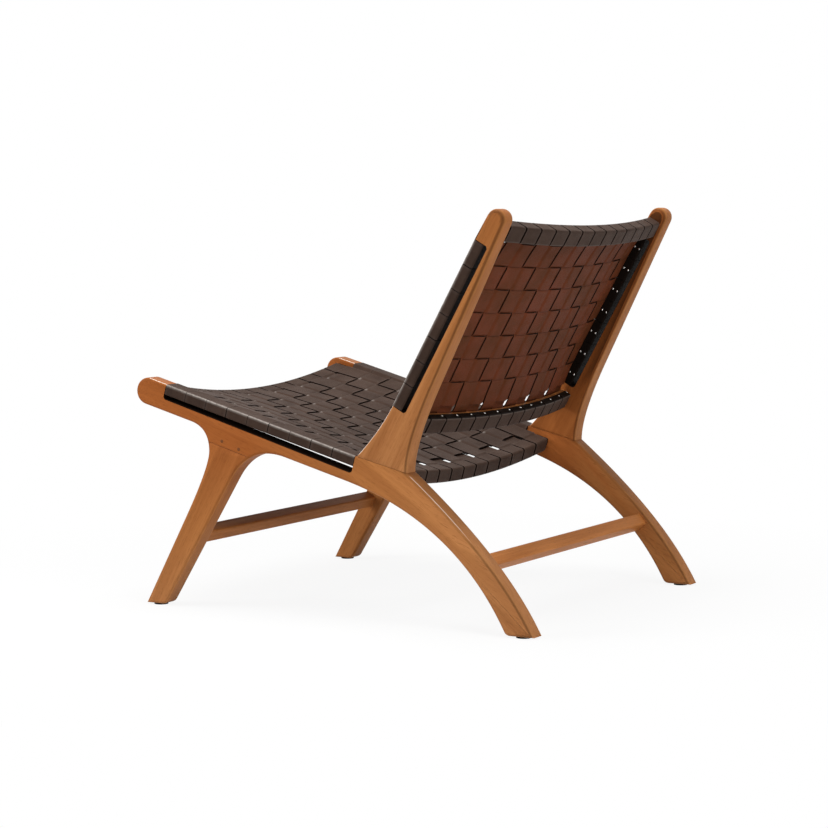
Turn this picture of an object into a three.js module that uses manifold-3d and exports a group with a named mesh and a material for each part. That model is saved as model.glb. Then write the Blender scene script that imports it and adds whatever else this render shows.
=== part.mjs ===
// Armless lounge chair: a teak frame with a seat and back woven from flat leather straps.
// Millimetres, +Z up. The sitter faces -Y, and +X is the sitter's left.
// Side views use y rearward and z up.
import * as THREE from 'three';
import { mergeVertices } from 'three/addons/utils/BufferGeometryUtils.js';
import Module from 'manifold-3d';

const wasm = await Module();
wasm.setup();
const DEG = Math.PI / 180;

// Side frames
const INNER_WIDTH = 624;
const PLANK = 36;
const EDGE_ROUND = 5;
const SEAT_FRONT_Y = -337;
const SEAT_FRONT_HEIGHT = 406;
const RAIL_SLOPE = 15.6 * DEG;
const RAIL_DEPTH = 49;
const NOSE_REACH = 38;

// Slots and bars that the cross straps wrap
const SEAT_ROWS = 9;
const SEAT_ROW_PITCH = 46;
const BACK_ROWS = 7;
const BACK_ROW_PITCH = 46.8;
const BAR = 20;
const SLOT = 8;

// Back posts
const POST_TOE_GAP = 2;
const POST_FOOT = 103;
const POST_FOOT_SLOPE = 13.8 * DEG;
const POST_FLARE_RUN = 73;
const POST_FLARE_RISE = 92;
const POST_TOE_SLOPE = 45 * DEG;
const BACK_SLOPE = 60.6 * DEG;
const POST_LENGTH = 375;
const POST_TOP = 36;
const POST_BASE = 51;
const POST_BASE_REACH = 71;

// Legs
const FRONT_FOOT_Y = -388;
const FRONT_FOOT = 42;
const FRONT_LEG_SLOPE = 61.5 * DEG;
const FRONT_LEG_REAR_SLOPE = 58.3 * DEG;
const LEG_NECK_Y = -247;
const NECK_FILLET = 40;
const NECK_BEND = 105;
const NECK_SHARE = 0.4;
const LEG_FILLET = 77;
const LEG_JOINT_DEPTH = 72;
const REAR_FOOT_Y = 408;
const REAR_FOOT = 53;
const REAR_LEG_TOP_SLOPE = 38.6 * DEG;
const REAR_LEG_FOOT_SLOPE = 62 * DEG;
const REAR_BEND_LEAD = 10;
const FOOT_ROUND = 8;

// Stretchers
const STRETCHER_WIDTH = 25;
const STRETCHER_THICK = 25;
const FRONT_STRETCHER_REACH = 150;
const FRONT_STRETCHER_INSET = 14;
const REAR_STRETCHER_REACH = 159;
const REAR_STRETCHER_INSET = 20;

// Cross rails, measured along the weave and square to it
const CROSS_RAIL_WIDTH = 27;
const CROSS_RAIL_THICK = 22;
const CROSS_RAIL_CHAMFER = 3;
const SEAT_FRONT_MARGIN = 24;
const SEAT_REAR_MARGIN = 36;
const BACK_TOP_MARGIN = 26.5;
const BACK_BOTTOM_MARGIN = 27.5;

// Weave
const COLUMNS = 13;
const STRAP_THICK = 2;
const COLUMN_GAP = 4;
const ROW_GAP = 0.6;
const SIDE_GAP = 5.2;
const SEAT_DROP = 9;
const SEAT_SAG_FRONT = 34;
const SEAT_SAG_REAR = 28;
const BACK_DROP = 6;
const BACK_BOW = 26;
const SEAT_LIFT = 5.5;
const SEAT_LIFT_POWER = 2;
const BACK_LIFT = 6.2;
const BACK_LIFT_POWER = 4;
const RAMP = 1.05;
const STRAP_TAIL = 14;
const WRAP_TAIL = 8;

// Joints and glides
const CLEAR = 0.3;
const TENON_THICK = 12;
const TENON_DEPTH = 24;
const LEG_TENON = 46;
const LEG_TENON_START = 30;
const POST_TENON = 40;
const POST_TENON_START = 49;
const END_TENON = 8;
const END_TENON_SHOULDER = 4;
const GLIDE_RADIUS = 13;
const GLIDE_HEIGHT = 3;
const GLIDE_NAIL_RADIUS = 2.5;
const GLIDE_NAIL = 12;
const GLIDE_SIDES = 14;

// Mesh fineness
const CURVE_STEPS = 6;
const ARC_STEPS = 8;
const ROUND_STEPS = 2;
const TOOL_REACH = 600;
const WELD = 1e-4;

const HALF = INNER_WIDTH / 2;
const PLANK_MID = HALF + PLANK / 2;
const SEAT_SLOT = SEAT_ROWS * SEAT_ROW_PITCH;
const BACK_SLOT = BACK_ROWS * BACK_ROW_PITCH;
const COLUMN_PITCH = (INNER_WIDTH - 2 * SIDE_GAP) / COLUMNS;
const REBATE = STRAP_THICK + CLEAR;
const SKIN = CLEAR + STRAP_THICK / 2;

const teak = () => new THREE.MeshStandardMaterial({ color: 0xb4743f, roughness: 0.5, metalness: 0 });
const leather = () => new THREE.MeshStandardMaterial({ color: 0x46393a, roughness: 0.55, metalness: 0 });
const rubber = () => new THREE.MeshStandardMaterial({ color: 0x171514, roughness: 0.8, metalness: 0 });

// Side-view places: s runs along the seat or back from the first strap's edge,
// and d goes below or behind the wood's edge
const vec = (y, z) => new THREE.Vector2(y, z);
const heading = (angle) => vec(Math.cos(angle), Math.sin(angle));
const along = (point, direction, distance) => point.clone().addScaledVector(direction, distance);
const toward = (from, to, distance) => along(from, to.clone().sub(from).normalize(), distance);

function railAt(s, d) {
  const start = along(vec(SEAT_FRONT_Y, SEAT_FRONT_HEIGHT), heading(-RAIL_SLOPE), s);
  return along(start, heading(-RAIL_SLOPE - Math.PI / 2), d);
}

const postToe = railAt(SEAT_SLOT + POST_TOE_GAP, 0);
const elbow = along(postToe, heading(-POST_FOOT_SLOPE), POST_FOOT);
const backStart = postToe.clone().add(vec(POST_FLARE_RUN, POST_FLARE_RISE));

function backAt(s, d) {
  return along(along(backStart, heading(BACK_SLOPE), s), heading(BACK_SLOPE - Math.PI / 2), d);
}

// Where the line from p in direction u crosses the line from q in direction v
function meet(p, u, q, v) {
  const gap = q.clone().sub(p);
  return along(p, u, gap.cross(v) / u.cross(v));
}

const bend = (from, corner, to) => new THREE.QuadraticBezierCurve(from, corner, to);

function arcPoints(center, radius, start, turn) {
  const steps = Array.from({ length: ARC_STEPS + 1 }, (_, i) => start + (turn * i) / ARC_STEPS);
  return steps.map((angle) => along(center, heading(angle), radius));
}

// Side frame outline, counterclockwise from the nose
const footZ = GLIDE_HEIGHT;
const railLine = heading(-RAIL_SLOPE);
const underside = railAt(0, RAIL_DEPTH);
const frontFoot = vec(FRONT_FOOT_Y, footZ);
const frontHeel = vec(FRONT_FOOT_Y + FRONT_FOOT, footZ);
const rearFoot = vec(REAR_FOOT_Y, footZ);
const rearToe = vec(REAR_FOOT_Y - REAR_FOOT, footZ);
const frontLegLine = heading(FRONT_LEG_SLOPE);
const rearLegLine = heading(Math.PI - REAR_LEG_FOOT_SLOPE);
const rearEdgeCorner = meet(elbow, heading(-REAR_LEG_TOP_SLOPE), rearFoot, rearLegLine);
const rearEdge = bend(rearFoot, rearEdgeCorner, elbow);

function sideOutline() {
  const noseRound = RAIL_DEPTH / 2;
  const nose = arcPoints(railAt(-NOSE_REACH, noseRound), noseRound, Math.PI / 2 - RAIL_SLOPE, Math.PI);
  const up = vec(0, 1);
  const neckTop = meet(underside, railLine, vec(LEG_NECK_Y, 0), up);
  const neckLow = meet(frontFoot, frontLegLine, vec(LEG_NECK_Y, 0), up);
  const legBack = meet(frontHeel, heading(FRONT_LEG_REAR_SLOPE), underside, railLine);
  const rearBend = railAt(SEAT_SLOT - REAR_BEND_LEAD, RAIL_DEPTH);
  const rearUnder = meet(rearBend, railLine, rearToe, rearLegLine);
  const postBase = backAt(POST_BASE_REACH, POST_BASE);
  const postRear = backAt(POST_LENGTH, POST_TOP);
  const postWaist = meet(elbow, up, postRear, postBase.clone().sub(postRear));
  const flareCorner = meet(backStart, heading(BACK_SLOPE), postToe, heading(POST_TOE_SLOPE));
  const neckMid = neckLow.clone().lerp(neckTop, NECK_SHARE);
  const heelRise = toward(frontHeel, legBack, FOOT_ROUND);
  const toeStart = toward(rearToe, rearUnder, FOOT_ROUND);
  const toeEnd = toward(rearToe, rearFoot, FOOT_ROUND);
  const legFilletEnd = along(legBack, railLine, LEG_FILLET);
  return [
    ...nose,
    ...bend(along(neckTop, railLine, -NECK_FILLET), neckTop, neckMid).getPoints(CURVE_STEPS),
    ...bend(neckMid, neckLow, along(neckLow, frontLegLine, -NECK_BEND)).getPoints(CURVE_STEPS).slice(1),
    frontFoot,
    ...bend(toward(frontHeel, frontFoot, FOOT_ROUND), frontHeel, heelRise).getPoints(ROUND_STEPS),
    ...bend(toward(legBack, frontHeel, LEG_FILLET), legBack, legFilletEnd).getPoints(CURVE_STEPS),
    ...bend(rearBend, rearUnder, toeStart).getPoints(ARC_STEPS),
    ...bend(toeStart, rearToe, toeEnd).getPoints(ROUND_STEPS).slice(1),
    ...rearEdge.getPoints(ARC_STEPS),
    ...bend(elbow, postWaist, postBase).getPoints(CURVE_STEPS).slice(1),
    ...arcPoints(backAt(POST_LENGTH, POST_TOP / 2), POST_TOP / 2, BACK_SLOPE - Math.PI / 2, Math.PI),
    ...bend(backStart, flareCorner, postToe).getPoints(CURVE_STEPS),
  ];
}

// Solids
function meshSolid(geometry) {
  const bare = geometry.clone();
  bare.deleteAttribute('normal');
  bare.deleteAttribute('uv');
  const merged = mergeVertices(bare, WELD);
  const vertProperties = new Float32Array(merged.attributes.position.array);
  const triVerts = new Uint32Array(merged.index.array);
  return new wasm.Manifold(new wasm.Mesh({ numProp: 3, vertProperties, triVerts }));
}

function solidMesh(solid) {
  const mesh = solid.getMesh();
  const geometry = new THREE.BufferGeometry();
  geometry.setAttribute('position', new THREE.Float32BufferAttribute(mesh.vertProperties, 3));
  geometry.setIndex(Array.from(mesh.triVerts));
  geometry.computeVertexNormals();
  return geometry;
}

// A closed solid through like rings of points, the first and last closed by fans
function sweep(rings) {
  const size = rings[0].length;
  const positions = rings.flat().flatMap((p) => [p.x, p.y, p.z]);
  const index = [];
  for (let i = 0; i + 1 < rings.length; i += 1) {
    for (let k = 0; k < size; k += 1) {
      const a = i * size + k;
      const b = i * size + ((k + 1) % size);
      index.push(a, b, a + size, b, b + size, a + size);
    }
  }
  const last = (rings.length - 1) * size;
  for (let k = 1; k + 1 < size; k += 1) {
    index.push(0, k + 1, k, last, last + k, last + k + 1);
  }
  const geometry = new THREE.BufferGeometry();
  geometry.setAttribute('position', new THREE.Float32BufferAttribute(positions, 3));
  geometry.setIndex(signedVolume(positions, index) < 0 ? index.reverse() : index);
  geometry.computeVertexNormals();
  return geometry;
}

function signedVolume(positions, index) {
  const corner = (i) => new THREE.Vector3().fromArray(positions, 3 * i);
  let total = 0;
  for (let i = 0; i < index.length; i += 3) {
    total += corner(index[i]).dot(corner(index[i + 1]).cross(corner(index[i + 2])));
  }
  return total;
}

function mirrored(geometry) {
  const copy = geometry.clone().scale(-1, 1, 1);
  copy.setIndex(Array.from(geometry.index.array).reverse());
  copy.computeVertexNormals();
  return copy;
}

const lift = (x, p) => new THREE.Vector3(x, p.x, p.y);
const acrossX = (outline, x0, x1) => sweep([x0, x1].map((x) => outline.map((p) => lift(x, p))));

function chamfered(width, height, cut) {
  const w = width / 2;
  const h = height / 2;
  const corners = [[w, h - cut], [w - cut, h], [cut - w, h], [-w, h - cut]];
  return [...corners, ...corners.map(([a, b]) => [-a, -b])].map(([a, b]) => vec(a, b));
}

// A prism across the chair whose section is a rectangle turned to the given angle
function turnedBar(center, angle, width, height, cut, x0, x1) {
  const section = chamfered(width, height, cut).map((p) => p.rotateAround(vec(0, 0), angle).add(center));
  return acrossX(section, x0, x1);
}

const rectangle = (s0, s1, d0, d1) => [vec(s0, d0), vec(s1, d0), vec(s1, d1), vec(s0, d1)];
const frameBlock = (at, x0, x1, s0, s1, d0, d1) =>
  acrossX(rectangle(s0, s1, d0, d1).map((p) => at(p.x, p.y)), x0, x1);

// Cross rails and straps follow the weave's hollow, which is shallower between the first and last rows' edges
const arch = (x) => Math.max(0, 1 - (x / HALF) ** 2);
const lifted = ({ rows, pitch, lift: height, power }, s) => {
  const share = THREE.MathUtils.clamp(s / (rows * pitch), 0, 1);
  return height * (1 - Math.abs(2 * share - 1) ** power);
};
const hollow = (panel, x, s) => panel.drop + panel.sag(s) * arch(x) - lifted(panel, s);
const seatSag = (s) => THREE.MathUtils.lerp(SEAT_SAG_FRONT, SEAT_SAG_REAR, s / SEAT_SLOT);
const columnX = (i) => (i - (COLUMNS - 1) / 2) * COLUMN_PITCH;
const columnEdge = (i) => columnX(i) - COLUMN_PITCH / 2;

const seat = {
  at: railAt,
  rows: SEAT_ROWS,
  pitch: SEAT_ROW_PITCH,
  drop: SEAT_DROP,
  sag: seatSag,
  lift: SEAT_LIFT,
  power: SEAT_LIFT_POWER,
};
const back = {
  at: backAt,
  rows: BACK_ROWS,
  pitch: BACK_ROW_PITCH,
  drop: BACK_DROP,
  sag: () => BACK_BOW,
  lift: BACK_LIFT,
  power: BACK_LIFT_POWER,
};
const crossRails = {
  seat_front_rail: { panel: seat, s: -SEAT_FRONT_MARGIN },
  seat_rear_rail: { panel: seat, s: SEAT_SLOT + SEAT_REAR_MARGIN },
  back_top_rail: { panel: back, s: BACK_SLOT + BACK_TOP_MARGIN },
  back_bottom_rail: { panel: back, s: -BACK_BOTTOM_MARGIN },
};
const RAIL_MID = SKIN + CROSS_RAIL_THICK / 2;

function endTenon({ panel, s }, side, clearance) {
  const halfS = CROSS_RAIL_WIDTH / 2 - END_TENON_SHOULDER + clearance;
  const halfD = CROSS_RAIL_THICK / 2 - END_TENON_SHOULDER + clearance;
  const mid = panel.drop + RAIL_MID;
  const tip = HALF + END_TENON + clearance;
  const root = HALF - END_TENON;
  const block = frameBlock(panel.at, root, tip, s - halfS, s + halfS, mid - halfD, mid + halfD);
  return meshSolid(side > 0 ? block : mirrored(block));
}

function crossRail(rail) {
  const { panel, s } = rail;
  const section = chamfered(CROSS_RAIL_WIDTH, CROSS_RAIL_THICK, CROSS_RAIL_CHAMFER);
  const inner = Array.from({ length: COLUMNS - 1 }, (_, i) => columnEdge(i + 1));
  const stations = [CLEAR - HALF, ...inner, HALF - CLEAR];
  const spot = (x, p) => lift(x, panel.at(p.x, p.y + hollow(panel, x, p.x)));
  const rings = stations.map((x) => section.map((p) => spot(x, vec(s + p.x, RAIL_MID + p.y))));
  const solid = meshSolid(sweep(rings));
  return solidMesh(solid.add(endTenon(rail, 1, 0)).add(endTenon(rail, -1, 0)));
}

// Unit normals of a path at its points, lengthened where it turns so that an offset path stays parallel
function mitres(path) {
  const normals = path.slice(1).map((p, i) => {
    const step = p.clone().sub(path[i]).normalize();
    return vec(-step.y, step.x);
  });
  return path.map((_, i) => {
    const before = normals[Math.max(i - 1, 0)];
    const after = normals[Math.min(i, normals.length - 1)];
    const sum = before.clone().add(after).normalize();
    return sum.multiplyScalar(1 / sum.dot(before));
  });
}

// A strap of even thickness along a path, with its two edges at the places given across it
function strap(path, edges, place) {
  const normals = mitres(path);
  const rings = path.map((p, i) => {
    const outer = along(p, normals[i], STRAP_THICK / 2);
    const inner = along(p, normals[i], -STRAP_THICK / 2);
    const [first, last] = edges;
    return [place(outer, first), place(outer, last), place(inner, last), place(inner, first)];
  });
  return sweep(rings);
}

// Corners of a wrap cut back to lie parallel to a chamfered bar
const WRAP_CUT = CROSS_RAIL_CHAMFER + SKIN * (2 - Math.SQRT2);

function easedCorners(points) {
  return points.flatMap((p, i) => {
    if (i === 0 || i === points.length - 1) {
      return [p];
    }
    return [toward(p, points[i - 1], WRAP_CUT), toward(p, points[i + 1], WRAP_CUT)];
  });
}

const RAIL_REACH = CROSS_RAIL_WIDTH / 2 + SKIN;
const RAIL_FAR = CROSS_RAIL_THICK + 2 * SKIN;

function seatStrapPath() {
  const front = crossRails.seat_front_rail.s - RAIL_REACH;
  const rear = crossRails.seat_rear_rail.s + RAIL_REACH;
  const run = Array.from({ length: SEAT_ROWS + 1 }, (_, i) => vec(i * SEAT_ROW_PITCH, 0));
  const frontWrap = [vec(front + STRAP_TAIL, RAIL_FAR), vec(front, RAIL_FAR), vec(front, 0), run[0]];
  const rearWrap = [run.at(-1), vec(rear, 0), vec(rear, RAIL_FAR), vec(rear - STRAP_TAIL, RAIL_FAR)];
  return [...easedCorners(frontWrap), ...run.slice(1, -1), ...easedCorners(rearWrap)];
}

function backStrapPath() {
  const top = crossRails.back_top_rail.s;
  const bottom = crossRails.back_bottom_rail.s;
  const run = Array.from({ length: BACK_ROWS + 1 }, (_, i) => vec((BACK_ROWS - i) * BACK_ROW_PITCH, 0));
  const topWrap = [
    vec(top - RAIL_REACH, RAIL_FAR - STRAP_TAIL),
    vec(top - RAIL_REACH, RAIL_FAR),
    vec(top + RAIL_REACH, RAIL_FAR),
    vec(top + RAIL_REACH, 0),
    run[0],
  ];
  const bottomWrap = [
    run.at(-1),
    vec(bottom - RAIL_REACH, 0),
    vec(bottom - RAIL_REACH, RAIL_FAR),
    vec(bottom + RAIL_REACH, RAIL_FAR),
    vec(bottom + RAIL_REACH, RAIL_FAR - STRAP_TAIL),
  ];
  return [...easedCorners(topWrap), ...run.slice(1, -1), ...easedCorners(bottomWrap)];
}

function lengthStrap(panel, path, column) {
  const middle = columnX(column);
  const width = COLUMN_PITCH - COLUMN_GAP;
  const place = (p, x) => lift(x, panel.at(p.x, p.y + hollow(panel, x, p.x)));
  return strap(path, [middle - width / 2, middle + width / 2], place);
}

// Cross straps wrap the bar at each side and run over and under the lengthwise straps
function crossStrap(panel, row) {
  const inner = HALF + STRAP_THICK / 2;
  const outer = HALF + PLANK - STRAP_THICK / 2;
  const top = STRAP_THICK / 2;
  const low = BAR - STRAP_THICK / 2;
  const round = [vec(inner, low), vec(outer, low), vec(outer, top), vec(inner, top)];
  const wrap = easedCorners([vec(inner, low - WRAP_TAIL), ...round]);
  const middle = (row + 0.5) * panel.pitch;
  const width = panel.pitch - ROW_GAP;
  const woven = [];
  for (let i = COLUMNS - 1; i >= 0; i -= 1) {
    const side = (i + row) % 2 === 0 ? 1 : -1;
    const ends = [columnEdge(i + 1) - RAMP, columnEdge(i) + RAMP];
    woven.push(...ends.map((x) => vec(x, hollow(panel, x, middle) + side * REBATE)));
  }
  const farWrap = wrap.map((p) => vec(-p.x, p.y)).reverse();
  const shift = (x, s) => (Math.abs(x) < HALF ? hollow(panel, x, s) - hollow(panel, x, middle) : 0);
  const place = (p, s) => lift(p.x, panel.at(s, p.y + shift(p.x, s)));
  return strap([...wrap, ...woven, ...farWrap], [middle - width / 2, middle + width / 2], place);
}

// Wooden side frame: one outline, cut at the joints, slotted for the straps and mortised for the rails
function sideBlank() {
  const options = {
    depth: PLANK - 2 * EDGE_ROUND,
    bevelThickness: EDGE_ROUND,
    bevelSize: EDGE_ROUND,
    bevelOffset: -EDGE_ROUND,
    bevelSegments: ROUND_STEPS,
  };
  const blank = new THREE.ExtrudeGeometry(new THREE.Shape(sideOutline()), options);
  const unit = (x, y, z) => new THREE.Vector3(x, y, z);
  const axes = new THREE.Matrix4().makeBasis(unit(0, 1, 0), unit(0, 0, 1), unit(1, 0, 0));
  return meshSolid(blank.applyMatrix4(axes).translate(HALF + EDGE_ROUND, 0, 0));
}

// The gap round a strapped bar: open at the wood's edge, round at the slot's ends
function slotted(solid, at, length) {
  const round = SLOT / 2;
  const deep = BAR + SLOT;
  const center = (s) => vec(s, deep - round);
  const outline = [
    vec(-CLEAR, -EDGE_ROUND),
    vec(length + CLEAR, -EDGE_ROUND),
    ...arcPoints(center(length + CLEAR - round), round, 0, Math.PI / 2),
    ...arcPoints(center(round - CLEAR), round, Math.PI / 2, Math.PI / 2),
  ];
  const notch = acrossX(outline.map((p) => at(p.x, p.y)), HALF - EDGE_ROUND, HALF + PLANK + EDGE_ROUND);
  const barSection = chamfered(PLANK - 2 * REBATE, BAR - 2 * REBATE, CROSS_RAIL_CHAMFER);
  const ends = [-EDGE_ROUND, length + EDGE_ROUND];
  const barPoint = (s, p) => lift(PLANK_MID + p.x, at(s, BAR / 2 + p.y));
  const rings = ends.map((s) => barSection.map((p) => barPoint(s, p)));
  return solid.subtract(meshSolid(notch)).add(meshSolid(sweep(rings)));
}

const TENON_HALF = TENON_THICK / 2;

// A tongue in the joint's own frame, with s along the joint and d across it
function tongue(at, start, length, d0, d1, clearance) {
  const x0 = PLANK_MID - TENON_HALF - clearance;
  const x1 = PLANK_MID + TENON_HALF + clearance;
  return meshSolid(frameBlock(at, x0, x1, start - clearance, start + length + clearance, d0, d1));
}

// Places along a joint line that falls rearward from its start, with d below it
function jointFrame(start, slope) {
  return (s, d) => along(along(start, heading(-slope), s), heading(-slope - Math.PI / 2), d);
}

const postJointAt = jointFrame(postToe, POST_FOOT_SLOPE);
const legJointStart = meet(railAt(0, LEG_JOINT_DEPTH), railLine, vec(LEG_NECK_Y, 0), vec(0, 1));
const legJointAt = jointFrame(legJointStart, RAIL_SLOPE);

function glideHole(y) {
  const radius = GLIDE_NAIL_RADIUS + CLEAR;
  const hole = new THREE.CylinderGeometry(radius, radius, 2 * GLIDE_NAIL, GLIDE_SIDES);
  return meshSolid(hole.rotateX(Math.PI / 2).translate(PLANK_MID, y, footZ + CLEAR));
}

const frontGlideY = FRONT_FOOT_Y + FRONT_FOOT / 2;
const rearGlideY = REAR_FOOT_Y - REAR_FOOT / 2;

function frontStretcherCenter() {
  const edge = along(frontFoot, frontLegLine, FRONT_STRETCHER_REACH);
  return along(edge, heading(FRONT_LEG_SLOPE - Math.PI / 2), FRONT_STRETCHER_INSET);
}

function rearStretcherPlace() {
  const share = REAR_STRETCHER_REACH / rearEdge.getLength();
  const tangent = rearEdge.getTangentAt(share);
  const inward = vec(-tangent.y, tangent.x);
  const center = along(rearEdge.getPointAt(share), inward, REAR_STRETCHER_INSET);
  return { center, angle: tangent.angle() };
}

const stretchers = {
  front_stretcher: { center: frontStretcherCenter(), angle: FRONT_LEG_SLOPE - Math.PI / 2 },
  rear_stretcher: rearStretcherPlace(),
};

function stretcherTenon({ center, angle }, clearance) {
  const width = STRETCHER_WIDTH - 2 * END_TENON_SHOULDER + 2 * clearance;
  const thick = STRETCHER_THICK - 2 * END_TENON_SHOULDER + 2 * clearance;
  const reach = HALF + END_TENON + clearance;
  return meshSolid(turnedBar(center, angle, width, thick, CLEAR, -reach, reach));
}

function stretcher(spot) {
  const { center, angle } = spot;
  const reach = HALF - CLEAR;
  const size = [STRETCHER_WIDTH, STRETCHER_THICK, CROSS_RAIL_CHAMFER];
  const bar = turnedBar(center, angle, ...size, -reach, reach);
  return solidMesh(meshSolid(bar).add(stretcherTenon(spot, 0)));
}

function sideFramePieces() {
  const blank = sideBlank();
  const x0 = HALF - EDGE_ROUND;
  const x1 = HALF + PLANK + EDGE_ROUND;
  const half = CLEAR / 2;
  const postSide = (d) => meshSolid(frameBlock(postJointAt, x0, x1, 0, TOOL_REACH, -TOOL_REACH, d));
  const legRear = LEG_FILLET + RAIL_DEPTH;
  const legSide = (d) => meshSolid(frameBlock(legJointAt, x0, x1, -TOOL_REACH, legRear, d, TOOL_REACH));
  const postTongue = (deep, clearance) =>
    tongue(postJointAt, POST_TENON_START, POST_TENON, -TENON_DEPTH, deep, clearance);
  const legTongue = (high, clearance) =>
    tongue(legJointAt, LEG_TENON_START, LEG_TENON, -high, TENON_DEPTH, clearance);

  let post = blank.intersect(postSide(-half));
  post = post.add(postTongue(TENON_DEPTH, 0));
  post = slotted(post, backAt, BACK_SLOT);
  post = post.subtract(endTenon(crossRails.back_top_rail, 1, CLEAR));
  post = post.subtract(endTenon(crossRails.back_bottom_rail, 1, CLEAR));

  let leg = blank.intersect(legSide(half));
  leg = leg.add(legTongue(TENON_DEPTH, 0));
  leg = leg.subtract(stretcherTenon(stretchers.front_stretcher, CLEAR));
  leg = leg.subtract(glideHole(frontGlideY));

  let rail = blank.subtract(postSide(half)).subtract(legSide(-half));
  rail = rail.subtract(postTongue(TENON_DEPTH + CLEAR, CLEAR));
  rail = rail.subtract(legTongue(TENON_DEPTH + CLEAR, CLEAR));
  rail = slotted(rail, railAt, SEAT_SLOT);
  rail = rail.subtract(endTenon(crossRails.seat_front_rail, 1, CLEAR));
  rail = rail.subtract(endTenon(crossRails.seat_rear_rail, 1, CLEAR));
  rail = rail.subtract(stretcherTenon(stretchers.rear_stretcher, CLEAR));
  rail = rail.subtract(glideHole(rearGlideY));

  return { side_rail: solidMesh(rail), front_leg: solidMesh(leg), back_post: solidMesh(post) };
}

function glide() {
  const profile = [
    vec(0, 0),
    vec(GLIDE_RADIUS, 0),
    vec(GLIDE_RADIUS, GLIDE_HEIGHT - CLEAR),
    vec(GLIDE_NAIL_RADIUS, GLIDE_HEIGHT - CLEAR),
    vec(GLIDE_NAIL_RADIUS, GLIDE_HEIGHT + GLIDE_NAIL - CLEAR),
    vec(0, GLIDE_HEIGHT + GLIDE_NAIL - CLEAR),
  ];
  return new THREE.LatheGeometry(profile, GLIDE_SIDES).rotateX(Math.PI / 2);
}

// Assembly
const chair = new THREE.Group();

function addMesh(name, geometry, material, position = new THREE.Vector3()) {
  const mesh = new THREE.Mesh(geometry, material);
  mesh.name = name;
  mesh.position.copy(position);
  chair.add(mesh);
}

for (const [name, geometry] of Object.entries(sideFramePieces())) {
  addMesh(`${name}_left`, geometry, teak());
  addMesh(`${name}_right`, mirrored(geometry), teak());
}
for (const [name, spot] of Object.entries(stretchers)) {
  addMesh(name, stretcher(spot), teak());
}
for (const [name, rail] of Object.entries(crossRails)) {
  addMesh(name, crossRail(rail), teak());
}
for (const [side, x] of [['left', PLANK_MID], ['right', -PLANK_MID]]) {
  addMesh(`front_glide_${side}`, glide(), rubber(), new THREE.Vector3(x, frontGlideY, 0));
  addMesh(`rear_glide_${side}`, glide(), rubber(), new THREE.Vector3(x, rearGlideY, 0));
}
for (let column = 0; column < COLUMNS; column += 1) {
  const number = String(column + 1).padStart(2, '0');
  addMesh(`seat_long_strap_${number}`, lengthStrap(seat, seatStrapPath(), column), leather());
  addMesh(`back_upright_strap_${number}`, lengthStrap(back, backStrapPath(), column), leather());
}
for (const [name, panel] of Object.entries({ seat, back })) {
  for (let row = 0; row < panel.rows; row += 1) {
    addMesh(`${name}_cross_strap_${row + 1}`, crossStrap(panel, row), leather());
  }
}

const extent = new THREE.Box3().setFromObject(chair);
chair.position.y = -(extent.min.y + extent.max.y) / 2;

export default chair;
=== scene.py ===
"""Woven strap lounge chair: fine teak, leather straps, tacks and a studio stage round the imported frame.

Sizes are millimetres and side views use y rearward and z up, until a mesh is made in metres.
"""

import math

import bmesh
import bpy
import numpy as np
from mathutils import Matrix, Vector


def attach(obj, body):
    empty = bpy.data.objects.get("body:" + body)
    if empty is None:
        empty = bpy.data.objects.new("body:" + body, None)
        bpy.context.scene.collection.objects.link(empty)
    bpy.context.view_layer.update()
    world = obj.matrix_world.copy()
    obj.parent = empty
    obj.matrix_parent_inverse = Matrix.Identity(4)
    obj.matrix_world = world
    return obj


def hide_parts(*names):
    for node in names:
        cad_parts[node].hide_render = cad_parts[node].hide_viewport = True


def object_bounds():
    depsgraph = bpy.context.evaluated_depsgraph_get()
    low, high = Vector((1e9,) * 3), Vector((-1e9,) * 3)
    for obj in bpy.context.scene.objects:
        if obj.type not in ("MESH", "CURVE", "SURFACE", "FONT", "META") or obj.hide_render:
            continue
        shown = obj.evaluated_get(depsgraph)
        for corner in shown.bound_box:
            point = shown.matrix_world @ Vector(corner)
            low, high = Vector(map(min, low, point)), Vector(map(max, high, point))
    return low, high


bl_info = {
    "name": "Woven Strap Lounge Chair",
    "version": (1, 0, 0),
    "blender": (4, 5, 0),
    "location": "View3D > Sidebar > Lounge Chair",
    "description": "Builds the teak frame, the woven leather straps and the studio of a lounge chair",
    "category": "Add Mesh",
}

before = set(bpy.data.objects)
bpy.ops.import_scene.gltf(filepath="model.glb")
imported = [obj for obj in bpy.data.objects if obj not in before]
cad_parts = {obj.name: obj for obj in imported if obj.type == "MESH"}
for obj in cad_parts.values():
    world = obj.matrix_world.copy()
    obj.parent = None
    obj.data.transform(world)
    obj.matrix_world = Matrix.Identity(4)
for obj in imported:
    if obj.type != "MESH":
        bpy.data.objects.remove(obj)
CAD_LOW, CAD_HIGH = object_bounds()

MM = 0.001
BODY = "root"
SIDES = {"left": 1, "right": -1}

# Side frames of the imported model: each plank lies HALF from the middle of the chair
HALF = 312.0
PLANK = 36.0
PLANK_MID = HALF + PLANK / 2
FOOT_Z = 3.0
# Seat rail: its slope, its nose and the bar that its slot leaves
SEAT_FRONT = np.array([-337.0, 406.0])
RAIL_SLOPE = -15.6
RAIL_DEPTH = 49.0
NOSE_REACH = 38.0
BAR = 20.0
SLOT = 8.0
# Back post: its foot on the rail, its flared toe, its straight, and its depth at the top and the base
POST_TOE_GAP = 2.0
POST_FOOT = 103.0
POST_FOOT_SLOPE = -13.8
POST_FLARE = np.array([73.0, 92.0])
POST_TOE_SLOPE = 45.0
BACK_SLOPE = 60.6
POST_LENGTH = 375.0
POST_TOP = 36.0
POST_BASE = 51.0
POST_BASE_REACH = 71.0
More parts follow.
